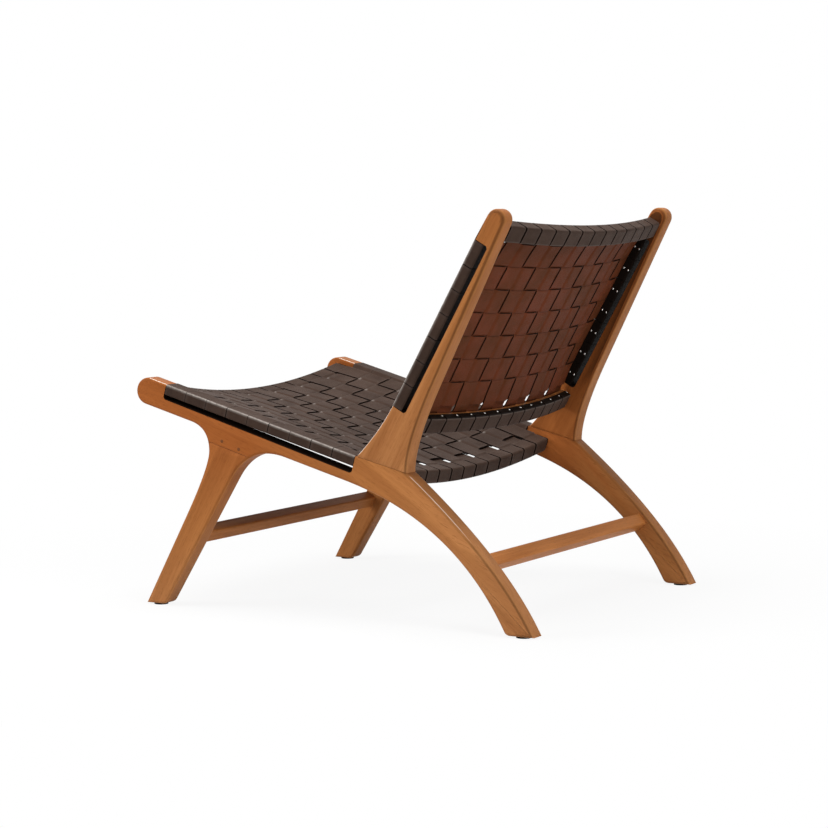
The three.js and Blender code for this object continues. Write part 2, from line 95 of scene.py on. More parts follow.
# Front leg: its foot, its slopes, its bent neck under the rail and its joint line
FRONT_FOOT_Y = -388.0
FRONT_FOOT = 42.0
FRONT_LEG_SLOPE = 61.5
FRONT_LEG_REAR_SLOPE = 58.3
LEG_NECK_Y = -247.0
NECK_FILLET = 40.0
NECK_BEND = 105.0
NECK_SHARE = 0.4
LEG_FILLET = 77.0
LEG_JOINT_DEPTH = 72.0
# Rear leg: its foot, and its slopes at the elbow and at the foot
REAR_FOOT_Y = 408.0
REAR_FOOT = 53.0
REAR_LEG_TOP_SLOPE = -38.6
REAR_LEG_FOOT_SLOPE = 118.0
REAR_BEND_LEAD = 10.0
FOOT_ROUND = 8.0
# From side-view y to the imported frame's
SHIFT_Y = CAD_HIGH.y / MM - REAR_FOOT_Y

# Finer forms of the side frames
JOINT_HAIRLINE = 0.05
NOTCH_CLEAR = 0.3
NOTCH_LEAD = 6.0
BAR_ROUND = 3.0
# How far the slot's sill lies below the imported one, at its near and far ends
SILL_DROP = {"seat": (-1.6, 2.9), "back": (0.0, 0.0)}
# An outline's turn counts as a corner above this value of 1 - cos(turn)
CORNER = 0.05
# Faces that meet at a larger angle, in degrees, keep a crisp edge
SHARP = 50.0
ARC_STEPS = 24
PEG_PLACES = np.array([[-217.0, 308.0], [-181.0, 295.0]])
PEG_RISE = 0.35

# Darkening of the side frames, where 1 is full: dark staining at the joints, dark edge lines of painted
# shade, a darker rear edge near the elbow and painted shade on the right post's inner face
JOINT_STAIN = 0.3
FAINT_LINE = 0.12
STRONG_LINE = 0.5
ELBOW_DARKENING = 0.18
FAR_POST_SHADE = 0.76
# Rub of an edge, a lighter line that is partly scuffing and partly a painted highlight: it turns from pale
# wood at 1 to a painted bright highlight at 2
NOSE_GLEAM = 1.8
ELBOW_GLEAM = 1.7
TOE_GLEAM = 4.0
# Where the scuffed line with its painted highlight and the dark line of painted shade lie on an edge's
# quarter round: their middle and width in degrees
RUB_AND_HIGHLIGHT_BELL = (66.0, 17.0)
LINE_BELL = (34.0, 28.0)
# The elbow's look begins at this share of the rear edge's points and is full after this share more
ELBOW_START = 0.55
ELBOW_RUN = 0.2

# Tone of the first piece of each kind, and its step from piece to piece
TONES = {
    "side_rail": (0.31, 0.9),
    "front_leg": (0.57, 0.7),
    "back_post": (0.12, 0.8),
    "stretcher": (0.8, 0.5),
    "cross_rail": (1.7, 0.4),
}
# How the tone drifts along each kind of plank: shares of side-view y and z in millimetres, and an offset
TONE_DRIFT = {
    "side_rail": (1 / 250, 0.0, -90 / 250),
    "front_leg": (0.0, -1 / 180, 150 / 180),
    "back_post": (0.0, -1 / 330, 600 / 330),
}
DRIFT_SHARE = {"left": 1.0, "right": 0.3}
# Painted shade on the inner faces of the right planks, up to a side-view y, with a fade before it and at
# edges
INNER_SHADE_END = {"side_rail": 260.0, "front_leg": -math.inf, "back_post": math.inf}
INNER_SHADE_FADE = 130.0
INNER_SHADE_BLEND = 5.0
POST_GRAIN_TURN = 1.5

# Stretchers and cross rails
STRETCHER = 25.0
STRETCHER_STATIONS = 9
FRONT_STRETCHER_REACH = 150.0
FRONT_STRETCHER_INSET = 14.0
REAR_STRETCHER_REACH = 159.0
REAR_STRETCHER_INSET = 20.0
STRETCHER_WARMTH = {"front_stretcher": 0.5, "rear_stretcher": 1.0}
# Painted shade of the seat's shadow on each stretcher's upper face, at its far and near edges
STRETCHER_SHADE = {"front_stretcher": (0.5, 0.2), "rear_stretcher": (0.0, 0.0)}
ON_FACE = 0.01
CROSS_RAIL_WIDTH = 27.0
CROSS_RAIL_THICK = 22.0
CROSS_RAIL_STATIONS = 61
# Painted shade on the bare lower rear corner of the back's bottom rail; the rest of each cross rail is
# painted fully dark as shade between the straps
BARE_SHADE = 0.25
SEAT_FRONT_RAIL = -24.0
SEAT_REAR_RAIL = 450.0
BACK_TOP_RAIL = 354.1
BACK_BOTTOM_RAIL = -27.5

# Weave
COLUMNS = 13
SIDE_GAP = 5.2
COLUMN_PITCH = (2 * HALF - 2 * SIDE_GAP) / COLUMNS
STRAP_SKIN = 1.3
RAIL_REACH = CROSS_RAIL_WIDTH / 2 + STRAP_SKIN
RAIL_FAR = CROSS_RAIL_THICK + 2 * STRAP_SKIN
STRAP_TAIL = 14.0
BAR_TAIL = 16.0
REBATE = 2.3
# Shares of the row gap between neighbouring cross straps, from the first strap on
ROW_GAPS = {"seat": (0.2, 0.2, 1.3, 0.2, 1.3, 0.2, 1.3, 1.3), "back": (1.0, 1.0, 1.6, 1.0, 1.0, 1.6)}
# Lengthwise straps: rise at the rails, turn at the rows' edges, narrowing past the rails and sway
END_RISE = 3.0
STRAP_TURN = 5.5
PINCH = 0.035
PINCH_RUN = 10.0
STRAP_SWAY = 0.2
LENGTH_SPACING = 2.0
LENGTH_SEED = 11
# Cross straps: lift off the bars' undersides, dip from the bars to the weave, step between columns and arch
WRAP_LIFT = 0.8
WRAP_SPACING = 3.0
DIP_LEAD = 1.0
STEP_CLEAR = 0.2
STEP_POINTS = 7
ARCH_RUN = 8.0
ARCH_POINTS = 6
CROSS_SEED = 23
# Rub with painted highlight, painted shade and darkening of the leather: 1 is full, and a reach is a distance
# from where each is strongest
EDGE_RUB_START = 0.9
LENGTH_RUB = 0.06
CROSS_RUB = 0.04
# Painted highlight along the wraps' top outer corners, and a darker line along the back top rail's rear
# corner
WRAP_HIGHLIGHT = 0.45
WRAP_RIDGE = 0.9
WRAP_REACH = 1.5
BAR_REACH = 1.4
# Painted shade on the wraps' outer faces and on the straps' tails in the bars and on the back's bottom rail
WRAP_SHADE = 0.5
TAIL_SHADE = 0.95
TAIL_MARGIN = 1.0
ON_LINE = 0.5
# Painted glints on the cross straps' front edges
SPARK = 0.9
SPARK_INSET = 3.5
SPARK_REACH = 3.0
TONE_SPREAD = 0.12
# Tacks: depths in a bar, places in a strap's tail, and shifts of a rail's row towards the sitter's right
BAR_TACKS = np.array([5.5, 15.5])
BAR_TACK_STAND = 0.05
TACK_INSET = STRAP_TAIL / 2 + 2.0
TACK_STAND = 1.0
TACK_SHIFT = {
    "tacks_seat_front": 0.0,
    "tacks_seat_rear": 0.0,
    "tacks_back_bottom": 20.0,
    "tacks_back_top": 0.0,
}

# Teak figure: each layer's stretch along, across and through the grain, its range and its share of the dark
FIGURE_STRETCH = {
    "wander": (1.6, 7.0, 7.0),
    "band": (1.0, 26.0, 9.0),
    "streak": (5.0, 190.0, 190.0),
    "broad": (2.2, 14.0, 14.0),
    "pore": (70.0, 1300.0, 1300.0),
}
FIGURE_RANGE = {"streak": (0.35, 0.72), "broad": (0.35, 0.7), "pore": (0.60, 0.72)}
FIGURE_SHARE = {"band": 0.42, "streak": 0.34, "broad": 0.38}
FIGURE_DEPTH = 0.86
PORE_DEPTH = 0.4
WANDER_REACH = 3.4
BAND_POWER = 9.0
TEAK_ROUGH = 0.34
STREAK_ROUGH = 0.16
STREAK_RELIEF = 0.35
PORE_RELIEF = 0.5
# Tints that the teak's colour is multiplied by where it is pale, where it is deep in tone and where painted
# shade lies on the right planks' inner faces, and where it is warm
PALE_TINT = (1.06, 1.16, 1.38, 1.0)
DEEP_AND_SHADE_TINT = (0.80, 0.62, 0.50, 1.0)
WARM_TINT = (1.44, 1.40, 1.28, 1.0)
TEAK_SHEEN = (1.0, 0.82, 0.62, 1.0)
# Share of the scuffed colour, partly a painted highlight, at a full rub
RUB_AND_HIGHLIGHT_DEPTH = 0.35
# Leather: pebble scale, bump strength and gloss of each side of a strap
HIDE = {
    "strap_grain_side": (620.0, 0.35, 0.025),
    "strap_reverse_side": (1100.0, 0.5, 0.03),
    "strap_cut_edge": (1500.0, 0.5, 0.03),
}
LEATHER_SHEEN = (1.0, 0.84, 0.74, 1.0)
# Hide grain: scales of its layers, their relief, how much creases darken it and how much fine grain dulls it
MOTTLE_SCALE = 17.0
WRINKLE_SCALE = 60.0
FINE_SCALE = 900.0
CREASE_RELIEF = 0.6
WRINKLE_RELIEF = 0.8
FINE_RELIEF = 0.3
CREASE_DEPTH = 0.3
FINE_ROUGH = 0.06
# Metal, rubber and the studio's white
TACK_SCUFF = (0.6, 0.58, 0.55, 1.0)
RUBBER = (0.006, 0.006, 0.006, 1.0)
RUBBER_DUST = (0.022, 0.021, 0.020, 1.0)
WHITE = (1.0, 1.0, 1.0, 1.0)

# Photograph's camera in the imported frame, in metres, degrees and millimetres of sensor
CAMERA_PLACE = (3.969, 2.2453, 0.7293)
CAMERA_YAW = 29.72
CAMERA_PITCH = 4.89
CAMERA_ROLL = -0.22
CAMERA_SENSOR = 36.0
CAMERA_CLIP = 100.0
# Soft boxes by their power setting: name, place and target in metres
LAMPS = {
    "overhead": ("overhead_box", (0.3, -0.1, 3.2), (0.0, 0.0, 0.3)),
    "key": ("key_box", (2.4, -3.0, 2.0), (0.0, 0.0, 0.4)),
    "fill": ("rear_fill_box", (1.6, 3.2, 2.4), (0.0, 0.0, 0.3)),
}
LAMP_SIZE = 1.6
# The floor's share of plain white, near the chair and far from it, and the distances in metres between them
FLOOR_WHITE = (0.9, 1.0)
FLOOR_FADE = (0.5, 1.3)


# Side-view geometry


def heading(degrees):
    """Unit side-view vector at an angle above the rearward axis."""
    angle = math.radians(degrees)
    return np.array([math.cos(angle), math.sin(angle)])


def meet(p, u, q, v):
    """Where the line from p along u crosses the line from q along v."""
    gap = q - p
    return p + u * (gap[0] * v[1] - gap[1] * v[0]) / (u[0] * v[1] - u[1] * v[0])


def toward(start, end, distance):
    """The point at a distance from start on the way to end."""
    return start + (end - start) * distance / np.linalg.norm(end - start)


def bend(start, corner, end, steps=16):
    """Quadratic curve (1-t)^2 start + 2t(1-t) corner + t^2 end."""
    t = np.linspace(0, 1, steps + 1)[:, None]
    return (1 - t) ** 2 * start + 2 * t * (1 - t) * corner + t * t * end


def arc(center, radius, start, turn, steps=ARC_STEPS):
    """Circle points from a start angle through a turn, in degrees."""
    angle = np.radians(start + np.linspace(0, turn, steps + 1))
    return center + radius * np.stack([np.cos(angle), np.sin(angle)], -1)


def smooth(t):
    """Eased 0 to 1: t^2 (3 - 2t) on the clipped t."""
    t = np.clip(t, 0, 1)
    return t * t * (3 - 2 * t)


class WovenPanel:
    """A woven plane: s runs along it from the first cross strap's edge, d goes below or behind it."""

    def __init__(self, name, origin, slope, rows, pitch, drop, sags, arch, power):
        self.name = name
        self.origin = origin
        self.along = heading(slope)
        self.below = heading(slope - 90)
        self.rows = rows
        self.pitch = pitch
        self.length = rows * pitch
        self.drop = drop
        self.sags = sags
        self.arch = arch
        self.power = power

    def at(self, s, d):
        """Side-view points: origin plus s along the panel plus d below it."""
        s, d = np.broadcast_arrays(np.asarray(s, float), np.asarray(d, float))
        return self.origin + s[..., None] * self.along + d[..., None] * self.below

    def hollow(self, x, s):
        """Depth of the weave: drop + sag (1 - (x / HALF)^2) - arch (1 - |2u - 1|^power), u = s / length."""
        first, last = self.sags
        sag = first + (last - first) * s / self.length
        share = np.clip(s / self.length, 0, 1)
        arch = self.arch * (1 - np.abs(2 * share - 1) ** self.power)
        return self.drop + sag * np.clip(1 - (x / HALF) ** 2, 0, None) - arch

    def place(self, x, s, d):
        """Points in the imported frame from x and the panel's s and d."""
        x, s, d = np.broadcast_arrays(x, s, d)
        return lift(x, self.at(s, d))


def lift(x, yz):
    """Packed-frame metres from x and side-view millimetres."""
    x = np.broadcast_to(x, yz.shape[:-1])
    return np.stack([x, yz[..., 0] + SHIFT_Y, yz[..., 1]], -1) * MM


SEAT = WovenPanel(
    "seat", SEAT_FRONT, RAIL_SLOPE,
    rows=9, pitch=46.0, drop=9.0, sags=(34.0, 28.0), arch=5.5, power=2,
)
POST_TOE = SEAT.at(SEAT.length + POST_TOE_GAP, 0)
BACK = WovenPanel(
    "back", POST_TOE + POST_FLARE, BACK_SLOPE,
    rows=7, pitch=46.8, drop=6.0, sags=(26.0, 26.0), arch=6.2, power=4,
)
ELBOW = POST_TOE + heading(POST_FOOT_SLOPE) * POST_FOOT
NECK = np.array([LEG_NECK_Y, 0.0])
FRONT_TOE = np.array([FRONT_FOOT_Y, FOOT_Z])
REAR_HEEL = np.array([REAR_FOOT_Y, FOOT_Z])
UP = np.array([0.0, 1.0])
# How far each plank stands back from the joint line under the seat rail and under the post
JOINT_DROP = SEAT.below * JOINT_HAIRLINE
FOOT_DROP = heading(POST_FOOT_SLOPE - 90) * JOINT_HAIRLINE


def column_x(column):
    """Middle of a lengthwise strap, column 0 on the sitter's right."""
    return (np.asarray(column) - (COLUMNS - 1) / 2) * COLUMN_PITCH


def rear_edge(steps=40):
    """Rear edge of the side rail, from the heel up to the elbow."""
    corner = meet(ELBOW, heading(REAR_LEG_TOP_SLOPE), REAR_HEEL, heading(REAR_LEG_FOOT_SLOPE))
    return bend(REAR_HEEL, corner, ELBOW, steps)


def lower_edge():
    """Outline from the nose round the front leg, the rail's underside and the rear leg to the elbow."""
    along = SEAT.along
    underside = SEAT.at(0, RAIL_DEPTH)
    front_leg = heading(FRONT_LEG_SLOPE)
    front_heel = FRONT_TOE + np.array([FRONT_FOOT, 0])
    rear_toe = REAR_HEEL - np.array([REAR_FOOT, 0])
    neck_top = meet(underside, along, NECK, UP)
    neck_low = meet(FRONT_TOE, front_leg, NECK, UP)
    neck_mid = neck_low + (neck_top - neck_low) * NECK_SHARE
    leg_back = meet(front_heel, heading(FRONT_LEG_REAR_SLOPE), underside, along)
    rear_bend = SEAT.at(SEAT.length - REAR_BEND_LEAD, RAIL_DEPTH)
    rear_under = meet(rear_bend, along, rear_toe, heading(REAR_LEG_FOOT_SLOPE))
    heel_start = toward(front_heel, FRONT_TOE, FOOT_ROUND)
    toe_start = toward(rear_toe, rear_under, FOOT_ROUND)
    nose_radius = RAIL_DEPTH / 2
    return np.concatenate([
        arc(SEAT.at(-NOSE_REACH, nose_radius), nose_radius, 90 + RAIL_SLOPE, 180),
        bend(neck_top - along * NECK_FILLET, neck_top, neck_mid),
        bend(neck_mid, neck_low, neck_low - front_leg * NECK_BEND)[1:],
        FRONT_TOE[None],
        bend(heel_start, front_heel, toward(front_heel, leg_back, FOOT_ROUND), steps=6),
        bend(toward(leg_back, front_heel, LEG_FILLET), leg_back, leg_back + along * LEG_FILLET, steps=24),
        bend(rear_bend, rear_under, toe_start, steps=40),
        bend(toe_start, rear_toe, toward(rear_toe, REAR_HEEL, FOOT_ROUND), steps=6)[1:],
        rear_edge(),
    ])


def post_edges():
    """The post's rear edge with its round top, and its flared toe, from the elbow to the post's toe."""
    base = BACK.at(POST_BASE_REACH, POST_BASE)
    rear = BACK.at(POST_LENGTH, POST_TOP)
    waist = meet(ELBOW, UP, rear, base - rear)
    flare = meet(BACK.origin, BACK.along, POST_TOE, heading(POST_TOE_SLOPE))
    top = arc(BACK.at(POST_LENGTH, POST_TOP / 2), POST_TOP / 2, BACK_SLOPE - 90, 180)
    return np.concatenate([bend(ELBOW, waist, base), top]), bend(BACK.origin, flare, POST_TOE)


def notch(panel, steps=6):
    """The gap round a strapped bar as three runs: far end, sill and near end, with round corners."""
    deep, far_deep = BAR + SLOT + np.array(SILL_DROP[panel.name])
    round_in = SLOT / 2
    near, far = -NOTCH_CLEAR, panel.length + NOTCH_CLEAR
    far_end = [[far, 0], [far, NOTCH_LEAD], [far, far_deep - round_in]]
    near_end = [[near, deep - round_in], [near, NOTCH_LEAD], [near, 0]]
    angle = np.radians(np.linspace(0, 90, steps + 1))[1:]
    turn = round_in * np.stack([np.cos(angle), np.sin(angle)], -1)
    far_turn = turn + [far - round_in, far_deep - round_in]
    near_turn = turn[::-1] * [-1, 1] + [near + round_in, deep - round_in]
    runs = np.concatenate([far_end, far_turn[:-1]]), far_turn[-1:], np.concatenate([near_turn, near_end])
    return [panel.at(run[:, 0], run[:, 1]) for run in runs]


def leg_joint(edge):
    """The lower edge split where the front leg's joint line crosses it: nose, leg and rear parts."""
    start = meet(SEAT.at(0, LEG_JOINT_DEPTH), SEAT.along, NECK, UP)
    offset = edge - start
    height = SEAT.along[0] * offset[:, 1] - SEAT.along[1] * offset[:, 0]
    crossings = np.nonzero(height[:-1] * height[1:] < 0)[0]
    run = offset @ SEAT.along
    first, last = crossings[run[crossings] < LEG_FILLET + RAIL_DEPTH][:2]
    share = height / (height - np.roll(height, -1))
    cut = edge + (np.roll(edge, -1, 0) - edge) * share[:, None]
    nose = np.concatenate([edge[: first + 1], cut[first][None]])
    leg = np.concatenate([cut[first][None], edge[first + 1 : last + 1], cut[last][None]])
    return nose, leg, np.concatenate([cut[last][None], edge[last + 1 :]])


# Meshes


class MeshParts:
    """Vertices, faces and flags gathered from several closed shells of one piece.

    Each vertex has an edge value, where the piece shows edge scuffing and painted highlights, and a value for
    staining and painted shade, where it is darkened.
    """

    def __init__(self):
        self.vertices, self.faces, self.smooth, self.slots, self.edge, self.stain = [], [], [], [], [], []
        self.count = 0

    def add(self, vertices, faces, smooth_flags, slots, edge, stain):
        """One shell more: its faces count on from the vertices that are there."""
        self.vertices.append(np.asarray(vertices, float).reshape(-1, 3))
        self.faces += [[int(i) + self.count for i in face] for face in faces]
        self.smooth += list(smooth_flags)
        self.slots += list(slots)
        self.edge.append(np.asarray(edge, float).ravel())
        self.stain.append(np.asarray(stain, float).ravel())
        self.count += len(self.vertices[-1])


def ring_faces(stations, around):
    """Quads of a grid of stations by points around, and its two end caps."""
    index = np.arange(stations * around).reshape(stations, around)
    first, last = index[:-1], index[1:]
    quads = np.stack([first, np.roll(first, -1, 1), np.roll(last, -1, 1), last], -1).reshape(-1, 4)
    return quads.tolist(), [index[0][::-1].tolist(), index[-1].tolist()]


def add_tube(parts, rings, slots=0, edge=0.0, stain=0.0):
    """A closed tube through rings of points (stations x around x 3), its caps flat."""
    stations, around = rings.shape[:2]
    quads, caps = ring_faces(stations, around)
    strip = np.broadcast_to(slots, around)
    flags = [True] * len(quads) + [False] * len(caps)
    face_slots = np.tile(strip, stations - 1).tolist() + [int(strip[-1])] * len(caps)
    edge, stain = (np.broadcast_to(value, (stations, around)) for value in (edge, stain))
    parts.add(rings, quads + caps, flags, face_slots, edge, stain)


def make_piece(name, parts, materials, attributes=None):
    """A Blender object at the origin from gathered shells, its faces turned outwards."""
    mesh = bpy.data.meshes.new(name)
    vertices = np.concatenate(parts.vertices)
    mesh.from_pydata(vertices.tolist(), [], parts.faces)
    mesh.polygons.foreach_set("use_smooth", parts.smooth)
    mesh.polygons.foreach_set("material_index", parts.slots)
    values = {"edge": np.concatenate(parts.edge), "stain": np.concatenate(parts.stain), **(attributes or {})}
    for key, value in values.items():
        kind = "FLOAT_VECTOR" if value.ndim == 2 else "FLOAT"
        field = "vector" if value.ndim == 2 else "value"
        layer = mesh.attributes.new(key, kind, "POINT")
        layer.data.foreach_set(field, np.ascontiguousarray(value, np.float32).ravel())
    shell = bmesh.new()
    shell.from_mesh(mesh)
    bmesh.ops.recalc_face_normals(shell, faces=shell.faces)
    shell.to_mesh(mesh)
    shell.free()
    mesh.set_sharp_from_angle(angle=math.radians(SHARP))
    for material in materials:
        mesh.materials.append(material)
    piece = bpy.data.objects.new(name, mesh)
    bpy.context.scene.collection.objects.link(piece)
    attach(piece, BODY)
    return piece


def rounded_plank(parts, runs, side, inner_shade=0.0, steps=10):
    """A plank across x whose outline is runs of (points, edge radius, dark line of painted shade, wall
    darkening, scuffing with painted highlight).

    Each edge's quarter round insets the outline by r(1 - sin a) at a depth of r(1 - cos a); corners are
    mitred so that both their edges keep their own inset. A bell curve of a puts the dark line of painted
    shade beside the plank's face, and another puts the scuffed line with its painted highlight beside its
    wall. The inner face has painted shade of its own.
    """
    points = np.concatenate([run[0] for run in runs])
    radii, lines, walls, rubs_and_highlights = (
        np.concatenate([np.full(len(run[0]), run[column], float) for run in runs]) for column in (1, 2, 3, 4)
    )
    step = np.roll(points, -1, 0) - points
    step /= np.linalg.norm(step, axis=1, keepdims=True)
    after = np.stack([step[:, 1], -step[:, 0]], -1)
    before = np.roll(after, 1, 0)
    before_radii = np.roll(radii, 1)
    cosine = np.sum(before * after, 1)
    mean = (radii + before_radii) / 2
    differ = (before_radii - radii) / 2
    inset = mean[:, None] * (before + after) / (1 + cosine)[:, None]
    corner = 1 - cosine > CORNER
    inset[corner] += (differ / np.maximum(1 - cosine, CORNER))[corner, None] * (before - after)[corner]
    depth = np.maximum(radii, before_radii)
    angle = np.radians(np.linspace(0, 90, steps + 1))
    inner = points - (1 - np.sin(angle))[:, None, None] * inset
    sunk = (1 - np.cos(angle))[:, None] * depth
    outline = np.concatenate([inner, inner[::-1]])
    across = np.concatenate([HALF + sunk, HALF + PLANK - sunk[::-1]])
    rings = lift(side * across, outline)
    quads, caps = ring_faces(*rings.shape[:2])
    off_face = angle > 0
    rub_and_highlight, line = (
        np.exp(-(((np.degrees(angle) - middle) / width) ** 2)) * off_face
        for middle, width in (RUB_AND_HIGHLIGHT_BELL, LINE_BELL)
    )
    rub_and_highlight, line, off_face = (np.concatenate([value, value[::-1]])[:, None] for value in (rub_and_highlight, line, off_face))
    stain = np.maximum(line * lines, off_face * walls)
    stain[0] = inner_shade
    flags = [True] * len(quads) + [False] * len(caps)
    parts.add(rings, quads + caps, flags, [0] * len(flags), rub_and_highlight * rubs_and_highlights, stain)


def rounded_section(width, height, radius, steps=6):
    """A rectangle with round corners, counterclockwise from its right side, about the origin."""
    angle = np.radians(np.linspace(0, 90, steps + 1))
    middle = [width / 2 - radius, height / 2 - radius]
    quarter = radius * np.stack([np.cos(angle), np.sin(angle)], -1) + middle
    left = quarter[::-1] * [-1, 1]
    return np.concatenate([quarter, left, -quarter, -left])


def add_bar(parts, panel, side):
    """The slim bar that the cross straps wrap, inside the notch of its rail or post."""
    section = rounded_section(PLANK - 2 * REBATE, BAR - 2 * REBATE, BAR_ROUND)
    ends = np.array([-NOTCH_CLEAR, panel.length + NOTCH_CLEAR])[:, None]
    rings = panel.place(side * (PLANK_MID + section[:, 0])[None], ends, BAR / 2 + section[:, 1][None])
    # The bar is painted black as shade; it shows only through the slot and the straps' gaps
    add_tube(parts, rings, stain=1.0)


def grain_along(vertices, spine):
    """Grain coordinates in metres: distance along the nearest spine segment, offset across it, and x."""
    yz = vertices[:, 1:] / MM - [SHIFT_Y, 0]
    step = np.diff(spine, axis=0)
    length = np.linalg.norm(step, axis=1)
    unit = step / length[:, None]
    gap = yz[:, None] - spine[None, :-1]
    run = np.clip(np.einsum("vpk,pk->vp", gap, unit), 0, length)
    miss = gap - run[..., None] * unit
    nearest = np.argmin(np.einsum("vpk,vpk->vp", miss, miss), 1)
    pick = np.arange(len(yz))
    start = np.concatenate([[0], np.cumsum(length)[:-1]])
    near_gap, near_unit = gap[pick, nearest], unit[nearest]
    run_on = start[nearest] + np.einsum("vk,vk->v", near_gap, near_unit)
    aside = near_unit[:, 0] * near_gap[:, 1] - near_unit[:, 1] * near_gap[:, 0]
    return np.stack([run_on, aside, vertices[:, 0] / MM], -1) * MM


def straight_spine(start, direction, length=1000.0):
    """A straight grain line."""
    return np.stack([start - direction * length, start + direction * length])


# Shader helpers

FLOAT, COLOR, VECTOR = "NodeSocketFloat", "NodeSocketColor", "NodeSocketVector"


def add_node(tree, kind, links=None, **settings):
    """A node with settings; its inputs take a socket's link or a plain value."""
    node = tree.nodes.new(kind)
    for key, value in settings.items():
        setattr(node, key, value)
    for key, value in (links or {}).items():
        if isinstance(value, bpy.types.NodeSocket):
            tree.links.new(value, node.inputs[key])
        else:
            node.inputs[key].default_value = value
    return node


def new_group(name, inputs, outputs):
    """A shader node group with named sockets: its tree, its input sockets and its output sockets."""
    tree = bpy.data.node_groups.new(name, "ShaderNodeTree")
    for label, kind in inputs:
        tree.interface.new_socket(label, in_out="INPUT", socket_type=kind)
    for label, kind in outputs:
        tree.interface.new_socket(label, in_out="OUTPUT", socket_type=kind)
    return tree, tree.nodes.new("NodeGroupInput").outputs, tree.nodes.new("NodeGroupOutput").inputs


def math_node(tree, operation, a, b=0.0, c=0.0, clamp=False):
    """The output of one Math node."""
    links = {0: a, 1: b, 2: c}
    return add_node(tree, "ShaderNodeMath", links, operation=operation, use_clamp=clamp).outputs[0]


def mix_color(tree, factor, a, b, blend="MIX"):
    """The output of a Mix node, whose sockets 0, 6 and 7 are its factor and its two colours."""
    links = {0: factor, 6: a, 7: b}
    return add_node(tree, "ShaderNodeMix", links, data_type="RGBA", blend_type=blend).outputs[2]


def stretched(tree, vector, scale):
    """A vector scaled by its own amount each way."""
    return add_node(tree, "ShaderNodeVectorMath", {0: vector, 1: scale}, operation="MULTIPLY").outputs[0]


def noise(tree, vector, scale, detail=3.0, roughness=0.5):
    """A Noise texture's value."""
    links = {"Vector": vector, "Scale": scale, "Detail": detail, "Roughness": roughness}
    return add_node(tree, "ShaderNodeTexNoise", links).outputs["Fac"]


def remap(tree, value, old, new=(0.0, 1.0)):
    """A value taken from one range to another, clamped."""
    links = {"Value": value, "From Min": old[0], "From Max": old[1], "To Min": new[0], "To Max": new[1]}
    return add_node(tree, "ShaderNodeMapRange", links, clamp=True).outputs["Result"]


def wood_figure_group():
    """Teak figure on grain coordinates: wandering growth bands, long streaks and short dark pores."""
    inputs = [("Grain", VECTOR), ("Tone", FLOAT), ("Light", COLOR), ("Dark", COLOR), ("Pore", COLOR)]
    outputs = [("Color", COLOR), ("Roughness", FLOAT), ("Height", FLOAT)]
    tree, given, result = new_group("Wood Figure", inputs, outputs)
    shift = add_node(tree, "ShaderNodeCombineXYZ", {0: given["Tone"], 1: given["Tone"], 2: given["Tone"]})
    moved = add_node(
        tree, "ShaderNodeVectorMath", {0: given["Grain"], 1: shift.outputs[0]}, operation="ADD"
    ).outputs[0]
    layers = {key: stretched(tree, moved, stretch) for key, stretch in FIGURE_STRETCH.items()}
    wander = math_node(tree, "SUBTRACT", noise(tree, layers["wander"], 1.0, detail=2.0), 0.5)
    flow = add_node(tree, "ShaderNodeSeparateXYZ", {0: layers["band"]}).outputs
    rings = math_node(tree, "ADD", flow[1], flow[2])
    rings = math_node(tree, "ADD", rings, math_node(tree, "MULTIPLY", wander, WANDER_REACH))
    saw = math_node(tree, "FRACT", rings)
    fall = math_node(tree, "SUBTRACT", 1.0, math_node(tree, "POWER", saw, BAND_POWER))
    streak = noise(tree, layers["streak"], 1.0, detail=5.0, roughness=0.62)
    broad = noise(tree, layers["broad"], 1.0, detail=2.0)
    pore = remap(tree, noise(tree, layers["pore"], 1.0, detail=1.0), FIGURE_RANGE["pore"])
    dark = math_node(tree, "MULTIPLY", math_node(tree, "MULTIPLY", saw, fall), FIGURE_SHARE["band"])
    for key, value in (("streak", streak), ("broad", broad)):
        share = math_node(tree, "MULTIPLY", remap(tree, value, FIGURE_RANGE[key]), FIGURE_SHARE[key])
        dark = math_node(tree, "ADD", dark, share)
    dark = math_node(tree, "MULTIPLY", dark, FIGURE_DEPTH, clamp=True)
    toned = mix_color(tree, dark, given["Light"], given["Dark"])
    pored = mix_color(tree, math_node(tree, "MULTIPLY", pore, PORE_DEPTH), toned, given["Pore"])
    tree.links.new(pored, result["Color"])
    rough = math_node(tree, "MULTIPLY_ADD", streak, STREAK_ROUGH, TEAK_ROUGH)
    tree.links.new(rough, result["Roughness"])
    raised = math_node(tree, "MULTIPLY", streak, STREAK_RELIEF)
    height = math_node(tree, "SUBTRACT", raised, math_node(tree, "MULTIPLY", pore, PORE_RELIEF))
    tree.links.new(height, result["Height"])
    return tree


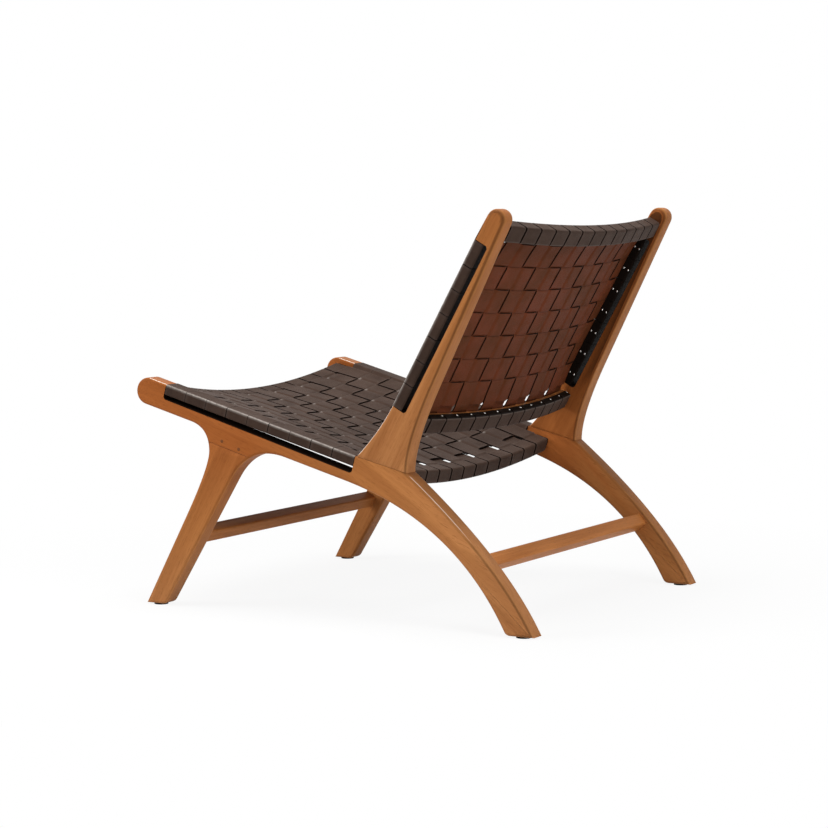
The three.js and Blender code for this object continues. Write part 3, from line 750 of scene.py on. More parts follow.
def hide_group():
    """Leather: mottled and wrinkled colour, fine pebbles with creases between them, and an uneven gloss."""
    inputs = [("Vector", VECTOR), ("Tone", FLOAT), ("Color", COLOR), ("Shade", COLOR), ("Pebble", FLOAT)]
    outputs = [("Color", COLOR), ("Roughness", FLOAT), ("Height", FLOAT)]
    tree, given, result = new_group("Hide Grain", inputs, outputs)
    mottle = noise(tree, given["Vector"], MOTTLE_SCALE, detail=4.0, roughness=0.6)
    fine = noise(tree, given["Vector"], FINE_SCALE, detail=2.0)
    wrinkle = noise(tree, given["Vector"], WRINKLE_SCALE, detail=6.0, roughness=0.66)
    links = {"Vector": given["Vector"], "Scale": given["Pebble"]}
    pebble = add_node(tree, "ShaderNodeTexVoronoi", links, feature="DISTANCE_TO_EDGE").outputs["Distance"]
    crease = remap(tree, pebble, (0.0, 0.22))
    # The Tone input adds random tone and, on the straps, painted shade, both pushing towards the Shade colour
    share = math_node(tree, "ADD", remap(tree, mottle, (0.3, 0.72), (0.0, 0.7)), given["Tone"])
    share = math_node(tree, "ADD", share, remap(tree, wrinkle, (0.42, 0.7), (0.0, 0.25)), clamp=True)
    toned = mix_color(tree, share, given["Color"], given["Shade"])
    between = math_node(tree, "MULTIPLY", math_node(tree, "SUBTRACT", 1.0, crease), CREASE_DEPTH)
    tree.links.new(mix_color(tree, between, toned, given["Shade"]), result["Color"])
    rough = remap(tree, mottle, (0.25, 0.75), (0.40, 0.54))
    rough = math_node(tree, "ADD", rough, math_node(tree, "MULTIPLY", fine, FINE_ROUGH))
    tree.links.new(rough, result["Roughness"])
    height = math_node(tree, "MULTIPLY", crease, CREASE_RELIEF)
    for layer, relief in ((wrinkle, WRINKLE_RELIEF), (fine, FINE_RELIEF)):
        height = math_node(tree, "ADD", height, math_node(tree, "MULTIPLY", layer, relief))
    tree.links.new(height, result["Height"])
    return tree


def edge_wear_and_highlight_group():
    """Edge scuffing and painted highlights: the edge attribute broken up by noise."""
    tree, given, result = new_group(
        "Edge Wear", [("Vector", VECTOR), ("Edge", FLOAT), ("Scale", FLOAT)], [("Mask", FLOAT)]
    )
    broken = noise(tree, given["Vector"], given["Scale"], detail=4.0, roughness=0.65)
    rubbed_and_highlit = math_node(tree, "MULTIPLY", given["Edge"], remap(tree, broken, (0.32, 0.68), (0.45, 1.0)))
    tree.links.new(rubbed_and_highlit, result["Mask"])
    return tree


def attribute(tree, name, output="Fac"):
    """A piece's own attribute as a value, or as a vector."""
    return add_node(tree, "ShaderNodeAttribute", attribute_name=name).outputs[output]


def place_group(tree, name, maker, links):
    """A group's node in a material, with its own values: its outputs. The group is built at its first use."""
    group = bpy.data.node_groups.get(name) or maker()
    return add_node(tree, "ShaderNodeGroup", links, node_tree=group).outputs


def new_material(name):
    """A new node material with its tree and its Principled BSDF, or the one of that name with neither."""
    found = bpy.data.materials.get(name)
    if found:
        return found, None, None
    material = bpy.data.materials.new(name)
    material.use_nodes = True
    return material, material.node_tree, material.node_tree.nodes["Principled BSDF"]


def bump(tree, shader, height, strength, distance):
    """A Bump node that feeds the shader's normal."""
    node = add_node(tree, "ShaderNodeBump", {"Height": height, "Strength": strength, "Distance": distance})
    tree.links.new(node.outputs["Normal"], shader.inputs["Normal"])


def rgba(color):
    """A colour property as four numbers."""
    return (*tuple(color)[:3], 1.0)


# Materials


def teak_material():
    """Oiled teak: figure along the grain attribute and tints, with lighter scuffed edges and painted
    highlights, dark staining at joints and painted shade.
    """
    material, tree, shader = new_material("oiled_teak")
    if tree is None:
        return material
    finish = bpy.context.scene.chair_finish
    grain = attribute(tree, "grain", "Vector")
    tone, edge, pale, warm, stain = (
        attribute(tree, key) for key in ("tone", "edge", "pale", "warm", "stain")
    )
    figure = place_group(tree, "Wood Figure", wood_figure_group, {
        "Grain": grain, "Tone": tone,
        "Light": rgba(finish.teak_light), "Dark": rgba(finish.teak_dark), "Pore": rgba(finish.teak_pore),
    })
    wear_and_highlight = place_group(tree, "Edge Wear", edge_wear_and_highlight_group, {"Vector": grain, "Edge": edge, "Scale": 45.0})
    color = mix_color(tree, remap(tree, pale, (0.0, 1.0)), figure["Color"], PALE_TINT, "MULTIPLY")
    color = mix_color(tree, remap(tree, pale, (0.0, -1.0)), color, DEEP_AND_SHADE_TINT, "MULTIPLY")
    color = mix_color(tree, warm, color, WARM_TINT, "MULTIPLY")
    # Scuffed edges with a painted highlight, then a painted bright highlight where the edge value passes 1
    rubbed_and_highlit = math_node(tree, "MULTIPLY", wear_and_highlight["Mask"], RUB_AND_HIGHLIGHT_DEPTH, clamp=True)
    color = mix_color(tree, rubbed_and_highlit, color, rgba(finish.teak_worn_and_highlight))
    color = mix_color(tree, remap(tree, edge, (1.0, 2.0)), color, rgba(finish.teak_gleam))
    # Dark staining at joints, and painted shade in slots, along edges and on shaded faces
    tree.links.new(mix_color(tree, stain, color, rgba(finish.teak_stain_and_shade)), shader.inputs["Base Color"])
    tree.links.new(math_node(tree, "MAXIMUM", figure["Roughness"], stain), shader.inputs["Roughness"])
    shader.inputs["Specular IOR Level"].default_value = 0.045
    shader.inputs["Specular Tint"].default_value = TEAK_SHEEN
    bump(tree, shader, figure["Height"], strength=0.25, distance=0.0006)
    return material


def leather_material(name, color, shade, worn_and_highlight):
    """Strap leather: hide grain on Object coordinates, with scuffed edges and painted highlights, and painted
    shade on the tails.
    """
    material, tree, shader = new_material(name)
    if tree is None:
        return material
    pebble, strength, gloss = HIDE[name]
    place = add_node(tree, "ShaderNodeTexCoord").outputs["Object"]
    tone, edge, stain = (attribute(tree, key) for key in ("tone", "edge", "stain"))
    hide = place_group(tree, "Hide Grain", hide_group, {
        "Vector": place, "Tone": tone, "Color": rgba(color), "Shade": rgba(shade), "Pebble": pebble,
    })
    wear_and_highlight = place_group(tree, "Edge Wear", edge_wear_and_highlight_group, {"Vector": place, "Edge": edge, "Scale": 120.0})
    # Scuffed edges and painted highlights, then painted shade
    color = mix_color(tree, wear_and_highlight["Mask"], hide["Color"], rgba(worn_and_highlight))
    dark = rgba(bpy.context.scene.chair_finish.cut_shade)
    tree.links.new(mix_color(tree, stain, color, dark), shader.inputs["Base Color"])
    tree.links.new(hide["Roughness"], shader.inputs["Roughness"])
    shader.inputs["Specular IOR Level"].default_value = gloss
    shader.inputs["Specular Tint"].default_value = LEATHER_SHEEN
    bump(tree, shader, hide["Height"], strength, distance=0.0005)
    return material


def strap_materials():
    """The strap's grain side, its reverse and its cut edges, in slot order."""
    finish = bpy.context.scene.chair_finish
    return [
        leather_material("strap_grain_side", finish.leather, finish.leather_shade, finish.leather_worn),
        leather_material("strap_reverse_side", finish.reverse, finish.reverse_shade, finish.reverse_worn_and_highlight),
        leather_material("strap_cut_edge", finish.cut_edge, finish.cut_shade, finish.cut_edge),
    ]


def tack_material():
    """Nickelled tack heads, a little scuffed."""
    material, tree, shader = new_material("tack_nickel")
    if tree is None:
        return material
    place = add_node(tree, "ShaderNodeTexCoord").outputs["Object"]
    scuff = noise(tree, place, 900.0)
    bright = rgba(bpy.context.scene.chair_finish.tack)
    color = mix_color(tree, remap(tree, scuff, (0.4, 0.7)), bright, TACK_SCUFF)
    tree.links.new(color, shader.inputs["Base Color"])
    tree.links.new(remap(tree, scuff, (0.3, 0.7), (0.22, 0.42)), shader.inputs["Roughness"])
    shader.inputs["Metallic"].default_value = 1.0
    return material


def peg_material():
    """End grain of a dark peg."""
    material, tree, shader = new_material("dark_peg")
    if tree is None:
        return material
    grain = attribute(tree, "grain", "Vector")
    finish = bpy.context.scene.chair_finish
    speck = noise(tree, grain, 1400.0)
    color = mix_color(tree, remap(tree, speck, (0.3, 0.7)), rgba(finish.peg), rgba(finish.teak_dark))
    tree.links.new(color, shader.inputs["Base Color"])
    tree.links.new(remap(tree, speck, (0.3, 0.7), (0.45, 0.65)), shader.inputs["Roughness"])
    shader.inputs["Specular IOR Level"].default_value = 0.1
    return material


def rubber_material():
    """Black glide rubber with dust in a fine grain."""
    material, tree, shader = new_material("glide_black")
    if tree is None:
        return material
    place = add_node(tree, "ShaderNodeTexCoord").outputs["Object"]
    speck = noise(tree, place, 700.0, detail=4.0)
    color = mix_color(tree, remap(tree, speck, (0.45, 0.75)), RUBBER, RUBBER_DUST)
    tree.links.new(color, shader.inputs["Base Color"])
    tree.links.new(remap(tree, speck, (0.3, 0.7), (0.65, 0.9)), shader.inputs["Roughness"])
    shader.inputs["Specular IOR Level"].default_value = 0.15
    bump(tree, shader, speck, strength=0.3, distance=0.0003)
    return material


# Wood pieces

# Grain line of a side rail, from its nose to its rear foot
RAIL_SPINE = bend(np.array([-420.0, 405.0]), np.array([90.0, 262.0]), np.array([420.0, -40.0]), steps=60)


def tone_of(kind, number):
    """Tone of a piece among those of its kind."""
    first, step = TONES[kind]
    return first + step * number


def wood_piece(node, parts, grain, tone, **attributes):
    """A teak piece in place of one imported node, with grain coordinates, a tone and further attributes."""
    values = {"grain": grain, "tone": np.full(len(grain), tone), **attributes}
    piece = make_piece(f"teak_{node}", parts, [teak_material()], values)
    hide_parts(node)


def plank_piece(kind, side, parts, spine):
    """A side frame's plank: its grain follows a spine, and its tone drifts along it.

    The drift is a sum of shares of y and z; the right planks carry painted shade on their inner faces.
    """
    vertices = np.concatenate(parts.vertices)
    along_y, along_z, offset = TONE_DRIFT[kind]
    x, y, z = vertices.T / MM - np.array([[0.0], [SHIFT_Y], [0.0]])
    pale = DRIFT_SHARE[side] * (y * along_y + z * along_z + offset)
    inside = smooth((HALF + INNER_SHADE_BLEND + x) / INNER_SHADE_BLEND) * (x < 0)
    pale -= inside * smooth((INNER_SHADE_END[kind] - y) / INNER_SHADE_FADE)
    tone = tone_of(kind, list(SIDES).index(side))
    wood_piece(f"{kind}_{side}", parts, grain_along(vertices, spine), tone, pale=pale)


def edge_kinds(sizes):
    """Kinds of plank edge: radius, dark line of painted shade, wall darkening and scuffing with painted
    highlight.
    """
    free, lip = sizes.edge_round / MM, sizes.slot_round / MM
    return {
        "worn_and_highlight": (free, FAINT_LINE, 0, 1),
        "lined": (free, STRONG_LINE, 0, 1),
        "nose": (free, FAINT_LINE, 0, NOSE_GLEAM),
        "toe": (free, 0, 0, TOE_GLEAM),
        "crown": (sizes.crown_round / MM, STRONG_LINE, 0, 1),
        "brow": (sizes.brow_round / MM, FAINT_LINE, 0, 1),
        "joint": (lip, 0, JOINT_STAIN, 0),
        # Slots and sills are painted dark as shade
        "slot": (lip, 0, 1, 0),
        "sill": (sizes.sill_round / MM, 0, 1, 0),
    }


def rail_runs(kinds, sign):
    """A side rail's outline: nose, underside, rear leg, post's foot and slot.

    Up to the elbow the rear edge's dark line of painted shade gives way to a darkening, and on the left to a
    painted highlight.
    """
    nose, _, rear = leg_joint(lower_edge())
    far_end, sill, near_end = notch(SEAT)
    heel = len(rear) - len(rear_edge())
    elbow = smooth((np.linspace(0, 1, len(rear) - 1 - heel) - ELBOW_START) / ELBOW_RUN)
    free, line, _, rub_and_highlight = kinds["lined"]
    rear_rub_and_highlight = rub_and_highlight + (ELBOW_GLEAM - rub_and_highlight) * elbow * (sign > 0)
    return [
        (nose[:1], *kinds["nose"]),
        (nose[1:-1], *kinds["worn_and_highlight"]),
        (nose[-1:] - JOINT_DROP, *kinds["joint"]),
        (rear[:1] - JOINT_DROP, *kinds["worn_and_highlight"]),
        (rear[1:heel], *kinds["worn_and_highlight"]),
        (rear[heel:-1], free, line * (1 - elbow), ELBOW_DARKENING * elbow, rear_rub_and_highlight),
        (rear[-1:] + FOOT_DROP, *kinds["joint"]),
        (POST_TOE[None] + FOOT_DROP, *kinds["joint"]),
        (far_end, *kinds["slot"]),
        (sill, *kinds["sill"]),
        (near_end[:-1], *kinds["slot"]),
        (near_end[-1:], *kinds["nose"]),
    ]


def leg_runs(kinds):
    """A front leg's outline below its joint line."""
    _, leg, _ = leg_joint(lower_edge())
    return [
        (leg[:1] + JOINT_DROP, *kinds["worn_and_highlight"]),
        (leg[1:-1], *kinds["worn_and_highlight"]),
        (leg[-1:] + JOINT_DROP, *kinds["joint"]),
    ]


def post_runs(kinds):
    """A back post's outline: rear edge, round top, slot and flared toe."""
    rear, toe = post_edges()
    far_end, sill, near_end = notch(BACK)
    crown = ARC_STEPS + 1
    return [
        (rear[:1] - FOOT_DROP, *kinds["lined"]),
        (rear[1:-crown], *kinds["lined"]),
        (rear[-crown:-1], *kinds["crown"]),
        (rear[-1:], *kinds["brow"]),
        (far_end, *kinds["slot"]),
        (sill, *kinds["sill"]),
        (near_end[:-1], *kinds["slot"]),
        (near_end[-1:], *kinds["toe"]),
        (toe[1:-1], *kinds["toe"]),
        (toe[-1:] - FOOT_DROP, *kinds["joint"]),
    ]


class CHAIR_OT_side_frames(bpy.types.Operator):
    """Side rails with their rear legs, front legs and back posts, rounded and cut at their joints"""

    bl_idname = "chair.side_frames"
    bl_label = "Side Frames"

    def execute(self, context):
        kinds = edge_kinds(context.scene.chair_frame)
        leg_outline, post_outline = leg_runs(kinds), post_runs(kinds)
        post_points = np.concatenate([run[0] for run in post_outline])
        # Painted shade on the right post's inner face, growing from the post's base
        up_post = (post_points - BACK.origin) @ BACK.along / POST_BASE_REACH
        post_shade = {"left": 0.0, "right": FAR_POST_SHADE * smooth(up_post)}
        post_spine = straight_spine(BACK.origin, heading(BACK_SLOPE + POST_GRAIN_TURN))
        leg_spine = straight_spine(FRONT_TOE, heading(FRONT_LEG_SLOPE))
        for side, sign in SIDES.items():
            rail, leg, post = MeshParts(), MeshParts(), MeshParts()
            rounded_plank(rail, rail_runs(kinds, sign), sign)
            add_bar(rail, SEAT, sign)
            plank_piece("side_rail", side, rail, RAIL_SPINE)
            rounded_plank(leg, leg_outline, sign)
            plank_piece("front_leg", side, leg, leg_spine)
            rounded_plank(post, post_outline, sign, post_shade[side])
            add_bar(post, BACK, sign)
            plank_piece("back_post", side, post, post_spine)
        return {"FINISHED"}


def stretcher_places():
    """Section middles and turns of the front and rear stretchers."""
    leg = heading(FRONT_LEG_SLOPE)
    inward = heading(FRONT_LEG_SLOPE - 90)
    front = FRONT_TOE + leg * FRONT_STRETCHER_REACH + inward * FRONT_STRETCHER_INSET
    edge = rear_edge(steps=400)
    step = np.diff(edge, axis=0)
    run = np.concatenate([[0], np.cumsum(np.linalg.norm(step, axis=1))])
    index = int(np.searchsorted(run, REAR_STRETCHER_REACH))
    tangent = step[index] / np.linalg.norm(step[index])
    rear = edge[index] + np.array([-tangent[1], tangent[0]]) * REAR_STRETCHER_INSET
    rear_turn = math.degrees(math.atan2(tangent[1], tangent[0]))
    return {"front_stretcher": (front, FRONT_LEG_SLOPE - 90), "rear_stretcher": (rear, rear_turn)}


class CHAIR_OT_stretchers(bpy.types.Operator):
    """The two straight stretchers between the front legs and between the rear legs"""

    bl_idname = "chair.stretchers"
    bl_label = "Stretchers"

    def execute(self, context):
        section = rounded_section(STRETCHER, STRETCHER, context.scene.chair_frame.rail_round / MM)
        far_above = (section[:, 0] < 0) & (section[:, 1] > 0)
        on_top = section[:, 1] > STRETCHER / 2 - ON_FACE
        x = np.linspace(-HALF, HALF, STRETCHER_STATIONS)[:, None]
        for number, (name, (middle, turn)) in enumerate(stretcher_places().items()):
            axes = np.stack([heading(turn), heading(turn + 90)])
            rings = lift(x, np.broadcast_to(middle + section @ axes, (len(x), *section.shape)))
            # Painted shade of the seat's shadow on the front stretcher's upper face
            far_shade, near_shade = STRETCHER_SHADE[name]
            parts = MeshParts()
            add_tube(parts, rings, stain=np.where(far_above, far_shade, near_shade * on_top))
            grain = np.concatenate(parts.vertices)
            warm = np.full(len(grain), STRETCHER_WARMTH[name])
            wood_piece(name, parts, grain, tone_of("stretcher", number), warm=warm)
        return {"FINISHED"}


CROSS_RAILS = {
    "seat_front_rail": (SEAT, SEAT_FRONT_RAIL),
    "seat_rear_rail": (SEAT, SEAT_REAR_RAIL),
    "back_top_rail": (BACK, BACK_TOP_RAIL),
    "back_bottom_rail": (BACK, BACK_BOTTOM_RAIL),
}


class CHAIR_OT_cross_rails(bpy.types.Operator):
    """The four curved rails under the straps' ends, each bowed with the weave"""

    bl_idname = "chair.cross_rails"
    bl_label = "Cross Rails"

    def execute(self, context):
        radius = context.scene.chair_frame.rail_round / MM
        section = rounded_section(CROSS_RAIL_WIDTH, CROSS_RAIL_THICK, radius)
        deep = STRAP_SKIN + CROSS_RAIL_THICK / 2 + section[:, 1][None]
        x = np.linspace(-HALF, HALF, CROSS_RAIL_STATIONS)[:, None]
        for number, (name, (panel, s)) in enumerate(CROSS_RAILS.items()):
            along = s + section[:, 0][None]
            bare = (name == "back_bottom_rail") & (section[:, 0] > 0) & (section[:, 1] < 0)
            parts = MeshParts()
            rings = panel.place(x, along, deep + panel.hollow(x, along))
            # Cross rails painted dark as shade between the straps, the bare corner less so
            add_tube(parts, rings, stain=np.where(bare, BARE_SHADE, 1.0))
            wood_piece(name, parts, np.concatenate(parts.vertices), tone_of("cross_rail", number))
        return {"FINISHED"}


# Straps


def strap_section(width, thick, steps=10, bevel=0.4):
    """A flat strap's section: places across it, heights, and per-edge slots: 0 grain, 1 reverse, 2 cut edge.

    The grain side runs from one edge to the other, then round the cut edge's two small bevels and back along
    the reverse.
    """
    half, rise = width / 2 - bevel, thick / 2
    across = np.concatenate([[-half], np.linspace(-1, 1, steps + 1) * (half - bevel), [half]])
    corner = bevel * math.sqrt(0.5)
    cut_x = half + np.array([corner, bevel, bevel, corner])
    cut_t = rise - bevel + np.array([corner, 0, 0, corner])
    cut_t[2:] *= -1
    flat = np.full(len(across), rise)
    w = np.concatenate([across, cut_x, across[::-1], -cut_x])
    t = np.concatenate([flat, cut_t, -flat, cut_t[::-1]])
    face, cut = len(across) - 1, len(cut_x) + 1
    slots = np.concatenate([np.zeros(face, int), np.full(cut, 2), np.ones(face, int), np.full(cut, 2)])
    edge = np.abs(w) / (width / 2)
    return w, t, slots, np.clip((edge - EDGE_RUB_START) / (1 - EDGE_RUB_START), 0, 1)


def filleted(points, radius, spacing, corner_steps=7):
    """A right-angled path with quarter-circle corners, its straights cut to an even spacing."""
    points = np.asarray(points, float)
    turns = points[1:-1]
    into = turns - points[:-2]
    into /= np.linalg.norm(into, axis=1, keepdims=True)
    out = points[2:] - turns
    out /= np.linalg.norm(out, axis=1, keepdims=True)
    angle = np.radians(np.linspace(0, 90, corner_steps + 1))[:, None]
    chains = [turn - radius * a + radius * (np.sin(angle) * a + (1 - np.cos(angle)) * b)
              for turn, a, b in zip(turns, into, out)]
    chain = np.concatenate([points[:1], *chains, points[-1:]])
    gaps = np.linalg.norm(np.diff(chain, axis=0), axis=1)
    counts = np.maximum(1, np.ceil(gaps / spacing)).astype(int)
    index = np.repeat(np.arange(len(gaps)), counts)
    share = np.concatenate([np.arange(n) / n for n in counts])[:, None]
    return np.concatenate([chain[index] * (1 - share) + chain[index + 1] * share, chain[-1:]])


def path_normals(path):
    """Unit normals on a path's left, from central differences."""
    step = np.gradient(path, axis=0)
    step /= np.linalg.norm(step, axis=1, keepdims=True)
    return np.stack([step[:, 1], -step[:, 0]], -1)


def near_corners(path, corners, reach):
    """How close each path point is to the nearest of some corners: exp(-(gap / reach)^2)."""
    gap = np.linalg.norm(path[:, None] - np.asarray(corners, float), axis=-1).min(1)
    return np.exp(-((gap / reach) ** 2))


def length_path(panel):
    """A lengthwise strap's line (s, d): tail, round the first rail, along the weave, round the last rail."""
    if panel is SEAT:
        first, last = SEAT_FRONT_RAIL - RAIL_REACH, SEAT_REAR_RAIL + RAIL_REACH
        start = [(first + STRAP_TAIL, RAIL_FAR), (first, RAIL_FAR), (first, 0)]
        end = [(last, 0), (last, RAIL_FAR), (last - STRAP_TAIL, RAIL_FAR)]
        return start + end
    first, last = BACK_BOTTOM_RAIL - RAIL_REACH, BACK_TOP_RAIL + RAIL_REACH
    near, far = BACK_BOTTOM_RAIL + RAIL_REACH, BACK_TOP_RAIL - RAIL_REACH
    start = [(near, RAIL_FAR - STRAP_TAIL), (near, RAIL_FAR), (first, RAIL_FAR), (first, 0)]
    end = [(last, 0), (last, RAIL_FAR), (far, RAIL_FAR), (far, RAIL_FAR - STRAP_TAIL)]
    return start + end


def length_wave(panel, s, column, height, rail_edges):
    """A lengthwise strap's rise and fall: level in each row, a sine turn at its edge, flat on the rails."""
    first, last = rail_edges
    edge = np.clip(np.round(s / panel.pitch), 1, panel.rows - 1)
    past = (s - edge * panel.pitch) / STRAP_TURN
    wave = (-1.0) ** edge * np.sin(np.pi / 2 * np.clip(past, -1, 1))
    held = smooth((s - first) / END_RISE) * smooth((last - s) / END_RISE)
    return (-1) ** (column + 1) * height * held * wave


def strap_piece(node, parts, tone):
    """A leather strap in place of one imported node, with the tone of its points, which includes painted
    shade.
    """
    piece = make_piece(f"leather_{node}", parts, strap_materials(), {"tone": tone})
    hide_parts(node)


class CHAIR_OT_length_straps(bpy.types.Operator):
    """Lengthwise seat straps and upright back straps, woven and wrapped round the cross rails"""

    bl_idname = "chair.length_straps"
    bl_label = "Lengthwise Straps"

    def execute(self, context):
        weave = context.scene.chair_weave
        draw = np.random.default_rng(LENGTH_SEED)
        width = COLUMN_PITCH - weave.column_gap / MM
        w, t, slots, edge = strap_section(width, weave.strap_thick / MM)
        half_rail = CROSS_RAIL_WIDTH / 2
        kinds = (
            (SEAT, "seat_long_strap", (SEAT_FRONT_RAIL + half_rail, SEAT_REAR_RAIL - half_rail)),
            (BACK, "back_upright_strap", (BACK_BOTTOM_RAIL + half_rail, BACK_TOP_RAIL - half_rail)),
        )
        for panel, stem, rail_edges in kinds:
            first, last = rail_edges
            line = length_path(panel)
            path = filleted(line, weave.wrap_round / MM, LENGTH_SPACING)
            normal = path_normals(path)
            on_run = (path[:, 1] < ON_LINE) & (path[:, 0] > first) & (path[:, 0] < last)
            # Painted highlights at the wraps' corners, a darker line at the back top rail's rear corner, and
            # painted shade on the back straps' tails
            rub_and_highlight = WRAP_HIGHLIGHT * near_corners(path, [line[1], line[-2]], WRAP_REACH)
            dark = WRAP_RIDGE * near_corners(path, line[-3:-2], WRAP_REACH) * (panel is BACK)
            on_tail = np.arange(len(path)) < np.argmax(path[:, 1] > RAIL_FAR - TAIL_MARGIN)
            tail = TAIL_SHADE * on_tail * (panel is BACK)
            past_rail = np.maximum(first - path[:, 0], path[:, 0] - last)
            narrow = 1 - PINCH * smooth(past_rail / PINCH_RUN)
            s = path[:, :1] + normal[:, :1] * t
            rubbed_and_highlit = np.maximum(LENGTH_RUB * edge * (t > 0), rub_and_highlight[:, None])
            for column in range(COLUMNS):
                sway = draw.uniform(-STRAP_SWAY, STRAP_SWAY)
                x = column_x(column) + sway + narrow[:, None] * w
                rise = length_wave(panel, path[:, 0], column, weave.strap_rise / MM, rail_edges) * on_run
                d = path[:, 1:] + normal[:, 1:] * t + rise[:, None]
                parts = MeshParts()
                add_tube(parts, panel.place(x, s, d + panel.hollow(x, s)), slots, rubbed_and_highlit, tail[:, None])
                tone = np.repeat(dark + draw.uniform(-TONE_SPREAD, TONE_SPREAD), len(t))
                strap_piece(f"{stem}_{column + 1:02d}", parts, tone)
        return {"FINISHED"}


def cross_stations(ramp):
    """Places across x for a cross strap: close together where it steps over a lengthwise strap's edge."""
    edges = column_x(np.arange(COLUMNS + 1)) - COLUMN_PITCH / 2
    rising = ramp + ARCH_RUN * np.linspace(0, 1, ARCH_POINTS)[1:]
    crest = np.linspace(rising[-1], COLUMN_PITCH - rising[-1], ARCH_POINTS)[1:-1]
    inside = np.concatenate([rising, crest, COLUMN_PITCH - rising])
    cells = (edges[:-1, None] + inside).ravel()
    steps = (edges[1:-1, None] + np.linspace(-ramp, ramp, STEP_POINTS)).ravel()
    ends = np.linspace(edges[-1] - ramp, HALF, STEP_POINTS)
    return np.sort(np.concatenate([cells, steps, ends, -ends]))


def cross_wave(x, row, height, ramp, crown):
    """A cross strap's rise and fall: a sine step of its height in each gap, an eased arch over a column."""
    outer = COLUMNS * COLUMN_PITCH / 2
    place = (np.clip(x, ramp - outer, outer - ramp) + outer) / COLUMN_PITCH
    edge = np.round(place)
    past = (place - edge) * COLUMN_PITCH
    side = np.where((edge + row) % 2 == 0, 1.0, -1.0)
    arch = height + crown * smooth((np.abs(past) - ramp) / ARCH_RUN)
    return side * np.sin(np.pi / 2 * np.clip(past / ramp, -1, 1)) * arch


def sparks(x, level):
    """Where a painted glint lies on a cross strap's front edge: a bell near the left edge of each column that
    it covers.
    """
    lit = column_x(np.arange(COLUMNS)) + COLUMN_PITCH / 2 - SPARK_INSET
    gap = np.abs(x[:, None] - lit).min(1)
    return np.exp(-((gap / SPARK_REACH) ** 2)) * (level < 0)


def cross_path(thick, ramp, radius):
    """A cross strap's line (x, d), and which of its points are woven.

    It goes from a tail inside the left bar round that bar, across the weave and round the right bar alike.
    """
    inner, outer = HALF + thick / 2, HALF + PLANK - thick / 2
    top, low = thick / 2, BAR - WRAP_LIFT - thick / 2
    turns = [(inner, low - BAR_TAIL), (inner, low), (outer, low), (outer, top), (inner, top)]
    wrap = filleted(turns, radius, WRAP_SPACING)
    x_run = cross_stations(ramp)[::-1]
    run = np.stack([x_run, np.full(len(x_run), top)], -1)
    woven = np.repeat([False, True, False], [len(wrap), len(run), len(wrap)])
    return np.concatenate([wrap, run, wrap[::-1] * [-1, 1]]), woven


def cross_rows(panel, gap):
    """The width of a panel's cross straps, and where along s each begins, with uneven gaps and centred."""
    shares = ROW_GAPS[panel.name]
    width = panel.pitch - np.mean(shares) * gap
    starts = np.concatenate([[0], np.cumsum(shares)]) * gap
    starts += np.arange(panel.rows) * width
    return width, starts + (panel.length - starts[-1] - width) / 2


class CHAIR_OT_cross_straps(bpy.types.Operator):
    """Cross straps: each wraps the bar at both sides and runs over and under the lengthwise straps"""

    bl_idname = "chair.cross_straps"
    bl_label = "Cross Straps"

    def execute(self, context):
        weave = context.scene.chair_weave
        draw = np.random.default_rng(CROSS_SEED)
        thick = weave.strap_thick / MM
        ramp = weave.column_gap / MM / 2 - STEP_CLEAR
        path, woven = cross_path(thick, ramp, weave.bar_round / MM)
        normal = -path_normals(path)
        normal[woven] = [0, -1]
        aside, outer = np.abs(path[:, 0]), HALF + PLANK - thick / 2
        # Painted highlight on the wraps' top outer corners, painted shade on their outer faces and on the
        # tails inside the bars
        rub_and_highlight = near_corners(np.abs(path), [(outer, thick / 2)], BAR_REACH)
        shade = WRAP_SHADE * (aside > outer - ON_LINE)
        tail = TAIL_SHADE * ((aside < outer - thick) & (path[:, 1] > thick) & ~woven)
        dip = smooth((HALF + DIP_LEAD - aside) / (SIDE_GAP + 2 * DIP_LEAD))[:, None] * woven[:, None]
        for panel in (SEAT, BACK):
            width, starts = cross_rows(panel, weave.row_gap / MM)
            w, t, slots, edge = strap_section(width, thick, steps=8)
            x = path[:, :1] + normal[:, :1] * t
            for row, start in enumerate(starts):
                s = (start + width / 2 + w)[None]
                level = cross_wave(path[:, 0], row, weave.cross_rise / MM, ramp, weave.crown / MM)
                # Painted glints on the front edges
                spark = SPARK * (sparks(path[:, 0], level) * woven)[:, None] * (edge * (w < 0))
                line = path[:, 1:] * (1 - dip) + (panel.hollow(path[:, :1], s) + level[:, None]) * dip
                rubbed_and_highlit = np.maximum(np.maximum(CROSS_RUB * edge, spark) * (t > 0), rub_and_highlight[:, None])
                parts = MeshParts()
                add_tube(parts, panel.place(x, s, line + normal[:, 1:] * t), slots, rubbed_and_highlit, tail[:, None])
                tone = np.repeat(shade + draw.uniform(-TONE_SPREAD, TONE_SPREAD), len(t))
                strap_piece(f"{panel.name}_cross_strap_{row + 1}", parts, tone)
        return {"FINISHED"}


# Small parts


def dome(radius, height, around=12, rings=4):
    """A round head: height times cos(a) at radius times sin(a), on a short rim that sinks in."""
    angle = np.radians(np.linspace(0, 90, rings + 1))[1:]
    turn = np.linspace(0, 2 * np.pi, around, endpoint=False)
    reach = np.concatenate([radius * np.sin(angle), [radius]])[:, None]
    rise = np.concatenate([height * np.cos(angle), [-height]])[:, None]
    return np.stack(np.broadcast_arrays(reach * np.cos(turn), reach * np.sin(turn), rise), -1)


def add_heads(parts, places, across, upward, radius, height):
    """Like heads at several places, each turned by its own two directions."""
    grid = dome(radius, height)
    third = np.cross(upward, across)
    for place, a, b, up in zip(places, across, third, upward):
        shell = place + (grid[..., :1] * a + grid[..., 1:2] * b + grid[..., 2:] * up) * MM
        add_tube(parts, shell)


